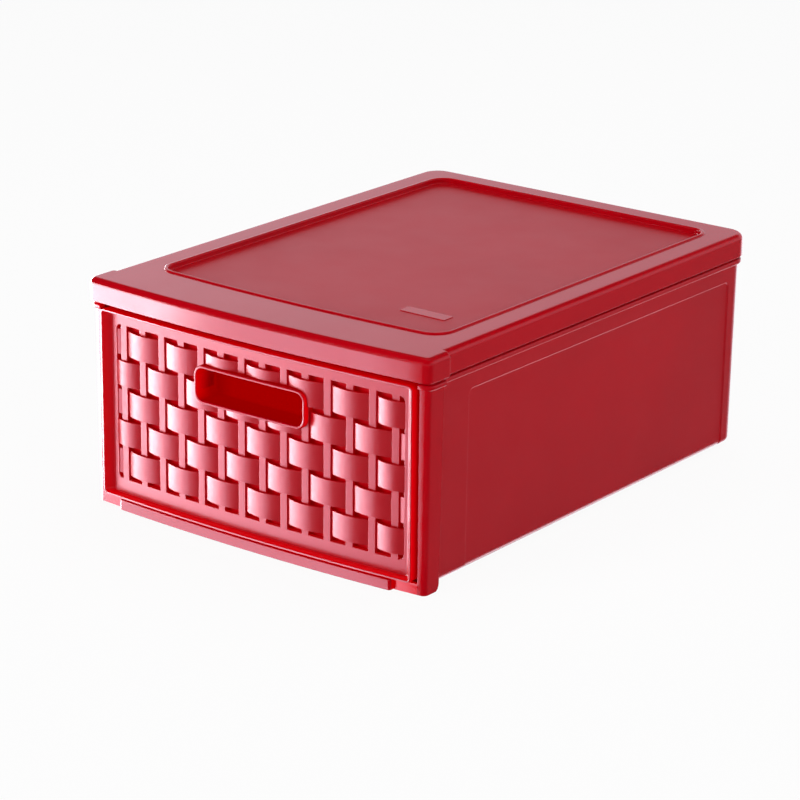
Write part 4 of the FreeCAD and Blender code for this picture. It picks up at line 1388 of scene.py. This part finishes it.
def make_tub():
    """The tub: its walls and base, the taller front plate, the bead along its top and the stops."""
    sizes = bpy.context.scene.tub_sizes
    face = bpy.context.scene.face_sizes
    shared = bpy.context.scene.box_sizes
    edge = shared.edge
    front = tub_low.y
    base = tub_low.z
    soft = sizes.bottom_round
    tub = Moulding()
    rings = []
    for s, c in quarter(5):
        height = base + soft * c
        rings.append(level(tub_outline(height, soft * (1 - s), front), height))
    rings.append(level(tub_outline(sizes.top - edge, 0, front), sizes.top - edge))
    rings += [
        level(tub_outline(sizes.top, edge * c, front), sizes.top - edge * (1 - s))
        for s, c in quarter(3)[1:]
    ]
    first = tub.ring(rings[0])
    tub.cap(first)
    rim = tub.stack(rings[1:], first)
    wall = sizes.wall
    rings = [
        level(tub_outline(sizes.top, wall - edge * (1 - s), front + wall), sizes.top - edge * c)
        for s, c in quarter(3)
    ]
    inner = sizes.inner_round
    for s, c in quarter(5):
        height = base + wall + inner * (1 - s)
        rings.append(level(tub_outline(height, wall + inner * c, front + wall), height))
    tub.cap(tub.stack(rings, rim))

    plate = Moulding()
    top = sizes.plate_top
    profile = [(0, sizes.top - sizes.plate_root)]
    profile += [(edge * c, top - edge * (1 - s)) for s, c in quarter(3)]
    plate.shell([
        level(bowed(box_outline(sizes.half - d, front + d, front + wall - d, across=24), 0), z)
        for d, z in profile
    ])
    tub.add(plate.outward())

    bead = Moulding()
    paths = []
    low = sizes.top - 2 * sizes.lip
    for out, height in bead_profile(low, sizes.top, sizes.lip, sizes.lip_round, sizes.lip_root):
        corner = (sizes.corner + out, 8)
        plan = box_outline(sizes.half + out, frame_high.y, sizes.rear + out, (0, 0), corner)
        paths.append(level(plan[1:] + plan[:1], height))
    bead.tube(paths)
    tub.add(bead.outward())

    stops = Moulding()
    low, high = sizes.top - sizes.stop_width, tub_high.z
    middle = Vector((sizes.half - sizes.stop_width / 2, 0))
    corner = (sizes.stop_round, 3)
    start, end = sizes.stop_front, sizes.stop_front + sizes.stop_length
    rings = []
    for inset, height in [(0, low)] + [(edge * c, high - edge * (1 - s)) for s, c in quarter(3)]:
        plan = box_outline(sizes.stop_width / 2 - inset, start + inset, end - inset, corner, corner)
        rings.append(level([middle + point for point in plan], height))
    stops.shell(rings)
    tub.add(stops.outward().mirror())
    grip = bpy.context.scene.grip_sizes
    tub.cut(grip_block(grip.fit - grip.seat, face.field - shared.root, sizes.hole_end))
    return tub.piece("drawer_tub", "drawer", "drawer_tub", tub_plastic())


# Stage


def make_camera():
    """The camera, turned and raised round its target."""
    settings = bpy.context.scene.stage_settings
    turn, rise = settings.turn, settings.rise
    back = Vector((math.sin(turn) * math.cos(rise), -math.cos(turn) * math.cos(rise), math.sin(rise)))
    right = Vector((math.cos(turn), math.sin(turn), 0))
    up = back.cross(right)
    tilt = Matrix.Rotation(settings.roll, 3, back)
    right, up = tilt @ right, tilt @ up
    camera = bpy.data.objects.new("camera", bpy.data.cameras.new("camera"))
    camera.data.lens = settings.lens
    camera.data.sensor_width = 36
    camera.data.shift_x = settings.shift_across
    camera.data.shift_y = settings.shift_up
    camera.data.clip_end = 100
    place = Matrix((right, up, back)).transposed().to_4x4()
    place.translation = Vector(settings.target) + back * settings.distance
    camera.matrix_world = place
    bpy.context.scene.collection.objects.link(camera)
    bpy.context.scene.camera = camera


def lamp(name, power, size, place, aim, glossy_only=False, colour=(1, 1, 1)):
    """A softbox that lights the box, or one that only its reflections show."""
    data = bpy.data.lights.new(name, "AREA")
    data.shape = "RECTANGLE"
    data.size, data.size_y = size
    data.energy = power
    data.color = colour
    made = bpy.data.objects.new(name, data)
    made.location = place
    made.rotation_mode = "QUATERNION"
    made.rotation_quaternion = (Vector(aim) - Vector(place)).to_track_quat("-Z", "Y")
    made.visible_camera = False
    made.visible_diffuse = not glossy_only
    made.visible_glossy = glossy_only
    bpy.context.scene.collection.objects.link(made)


def make_floor():
    """A round white floor, which reflections don't show."""
    settings = bpy.context.scene.stage_settings
    floor = Moulding()
    middle = Vector((0, 0))
    rings = [level(circle(middle, settings.floor_size * part, 64), 0) for part in (0.05, 0.2, 1.0)]
    first = floor.ring(rings[0])
    floor.cap(first)
    floor.stack(rings[1:], first)
    mesh = bpy.data.meshes.new("floor")
    floor.mesh.to_mesh(mesh)
    made = bpy.data.objects.new("floor", mesh)
    made.visible_glossy = False
    bpy.context.scene.collection.objects.link(made)
    paper = new_finish("paper")
    diffuse = paper.node("ShaderNodeBsdfDiffuse", None, {"Color": full(settings.paper)})
    glow = paper.node("ShaderNodeEmission", None, {"Color": (1, 1, 1, 1), "Strength": 1.0})
    kinds = ("Is Camera Ray", "Is Glossy Ray", "Is Transmission Ray")
    camera, glossy, passed = [paper.node("ShaderNodeLightPath", output=kind) for kind in kinds]
    seen = (camera + glossy + passed) * settings.whiteness
    mixed = paper.node("ShaderNodeMixShader", None, {0: seen, 1: diffuse, 2: glow})
    mesh.materials.append(paper.surface(mixed))


# Level direction to the left, as the camera sees the box
LEFT = (-0.794, -0.607)


def make_world():
    """A studio with a pale backdrop behind the box and a dimmer front and ceiling."""
    settings = bpy.context.scene.stage_settings
    world = bpy.data.worlds.new("studio")
    bpy.context.scene.world = world
    studio = Finish(world)
    across, along, height = studio.parts(studio.node("ShaderNodeTexCoord", output="Generated"))
    behind = studio.spread(along, -0.1, 0.45, 0.0, 1.0)
    low = studio.spread(height, 0.36, 0.56, 1.0, 0.0)
    above = studio.spread(height, -0.1, 0.05, 0.0, 1.0)
    leftward = studio.spread(across * LEFT[0] + along * LEFT[1], -0.07, 0.09, 0.8, 1.2)
    steep = studio.spread(height, -0.55, -0.7, 0.0, 1.0)
    straight = studio.spread(across, 0.3, 0.0, 0.0, 1.0)
    table = settings.table + (steep + straight) * settings.table_rise
    backdrop = (1 - above) * table + above * leftward * settings.backdrop
    rising = studio.spread(height, -0.08, -0.03, 0.0, 1.0)
    horizon = rising * studio.spread(height, 0.06, 0.14, 1.0, 0.0)
    strength = settings.gloom + behind * low * backdrop + (1 - behind) * horizon * settings.horizon
    inputs = {"Color": full(settings.sky), "Strength": strength}
    sky = studio.node("ShaderNodeBackground", None, inputs)
    studio.node("ShaderNodeOutputWorld", None, {"Surface": sky})


class BOX_OT_stage(bpy.types.Operator):
    """Sets up the camera, floor and lamps"""

    bl_idname = "drawer_box.stage"
    bl_label = "Stage"

    def execute(self, context):
        context.scene.view_settings.view_transform = "Standard"
        make_camera()
        make_floor()
        make_world()
        box = (0, 0, 0.07)
        lamp("ceiling", 14.5, (1.6, 1.6), (0, 0.3, 1.8), box)
        lamp("key", 33, (1.2, 1.2), (-0.9, -2.2, 0.7), box)
        lamp("side", 13.2, (1.2, 1.2), (2, -0.2, 0.9), box)
        below, level_aim = (-1.79, -1.24, -1.3), (0, -0.1, -1.3)
        lamp("sheen", 112, (2.66, 2.1), below, level_aim, glossy_only=True, colour=(1, 0.9, 1))
        below, level_aim = (-2.2, -0.28, -0.3), (0, -0.28, -0.3)
        lamp("far_sheen", 205, (4.1, 1.14), below, level_aim, glossy_only=True)
        return {"FINISHED"}


class BOX_OT_cover(bpy.types.Operator):
    """Builds the lift-off cover"""

    bl_idname = "drawer_box.cover"
    bl_label = "Top cover"

    def execute(self, context):
        make_cover()
        return {"FINISHED"}


class BOX_OT_housing(bpy.types.Operator):
    """Builds the housing with its bead, side panels, runners and feet"""

    bl_idname = "drawer_box.housing"
    bl_label = "Housing"

    def execute(self, context):
        make_housing()
        return {"FINISHED"}


class BOX_OT_frame(bpy.types.Operator):
    """Builds the front frame with its sill lip and bead"""

    bl_idname = "drawer_box.frame"
    bl_label = "Front frame"

    def execute(self, context):
        make_frame()
        return {"FINISHED"}


class BOX_OT_drawer(bpy.types.Operator):
    """Builds the drawer: its tub, front, weave and grip"""

    bl_idname = "drawer_box.drawer"
    bl_label = "Drawer"

    def execute(self, context):
        make_tub()
        make_front()
        make_weave()
        make_grip()
        return {"FINISHED"}


OPERATORS = (BOX_OT_stage, BOX_OT_cover, BOX_OT_housing, BOX_OT_frame, BOX_OT_drawer)


class BOX_PT_panel(bpy.types.Panel):
    """Lists the pieces of the drawer box"""

    bl_idname = "BOX_PT_panel"
    bl_label = "Drawer box"
    bl_space_type = "VIEW_3D"
    bl_region_type = "UI"
    bl_category = "Drawer box"

    def draw(self, context):
        for operator in OPERATORS:
            self.layout.operator(operator.bl_idname)


CLASSES = (*GROUPS.values(), *OPERATORS, BOX_PT_panel)


def register():
    for made in CLASSES:
        bpy.utils.register_class(made)
    for name, group in GROUPS.items():
        setattr(bpy.types.Scene, name, PointerProperty(type=group))


def unregister():
    for name in GROUPS:
        delattr(bpy.types.Scene, name)
    for made in reversed(CLASSES):
        bpy.utils.unregister_class(made)


def main():
    register()
    for step in ("stage", "cover", "housing", "frame", "drawer"):
        getattr(bpy.ops.drawer_box, step)()


if __name__ == "__main__":
    main()
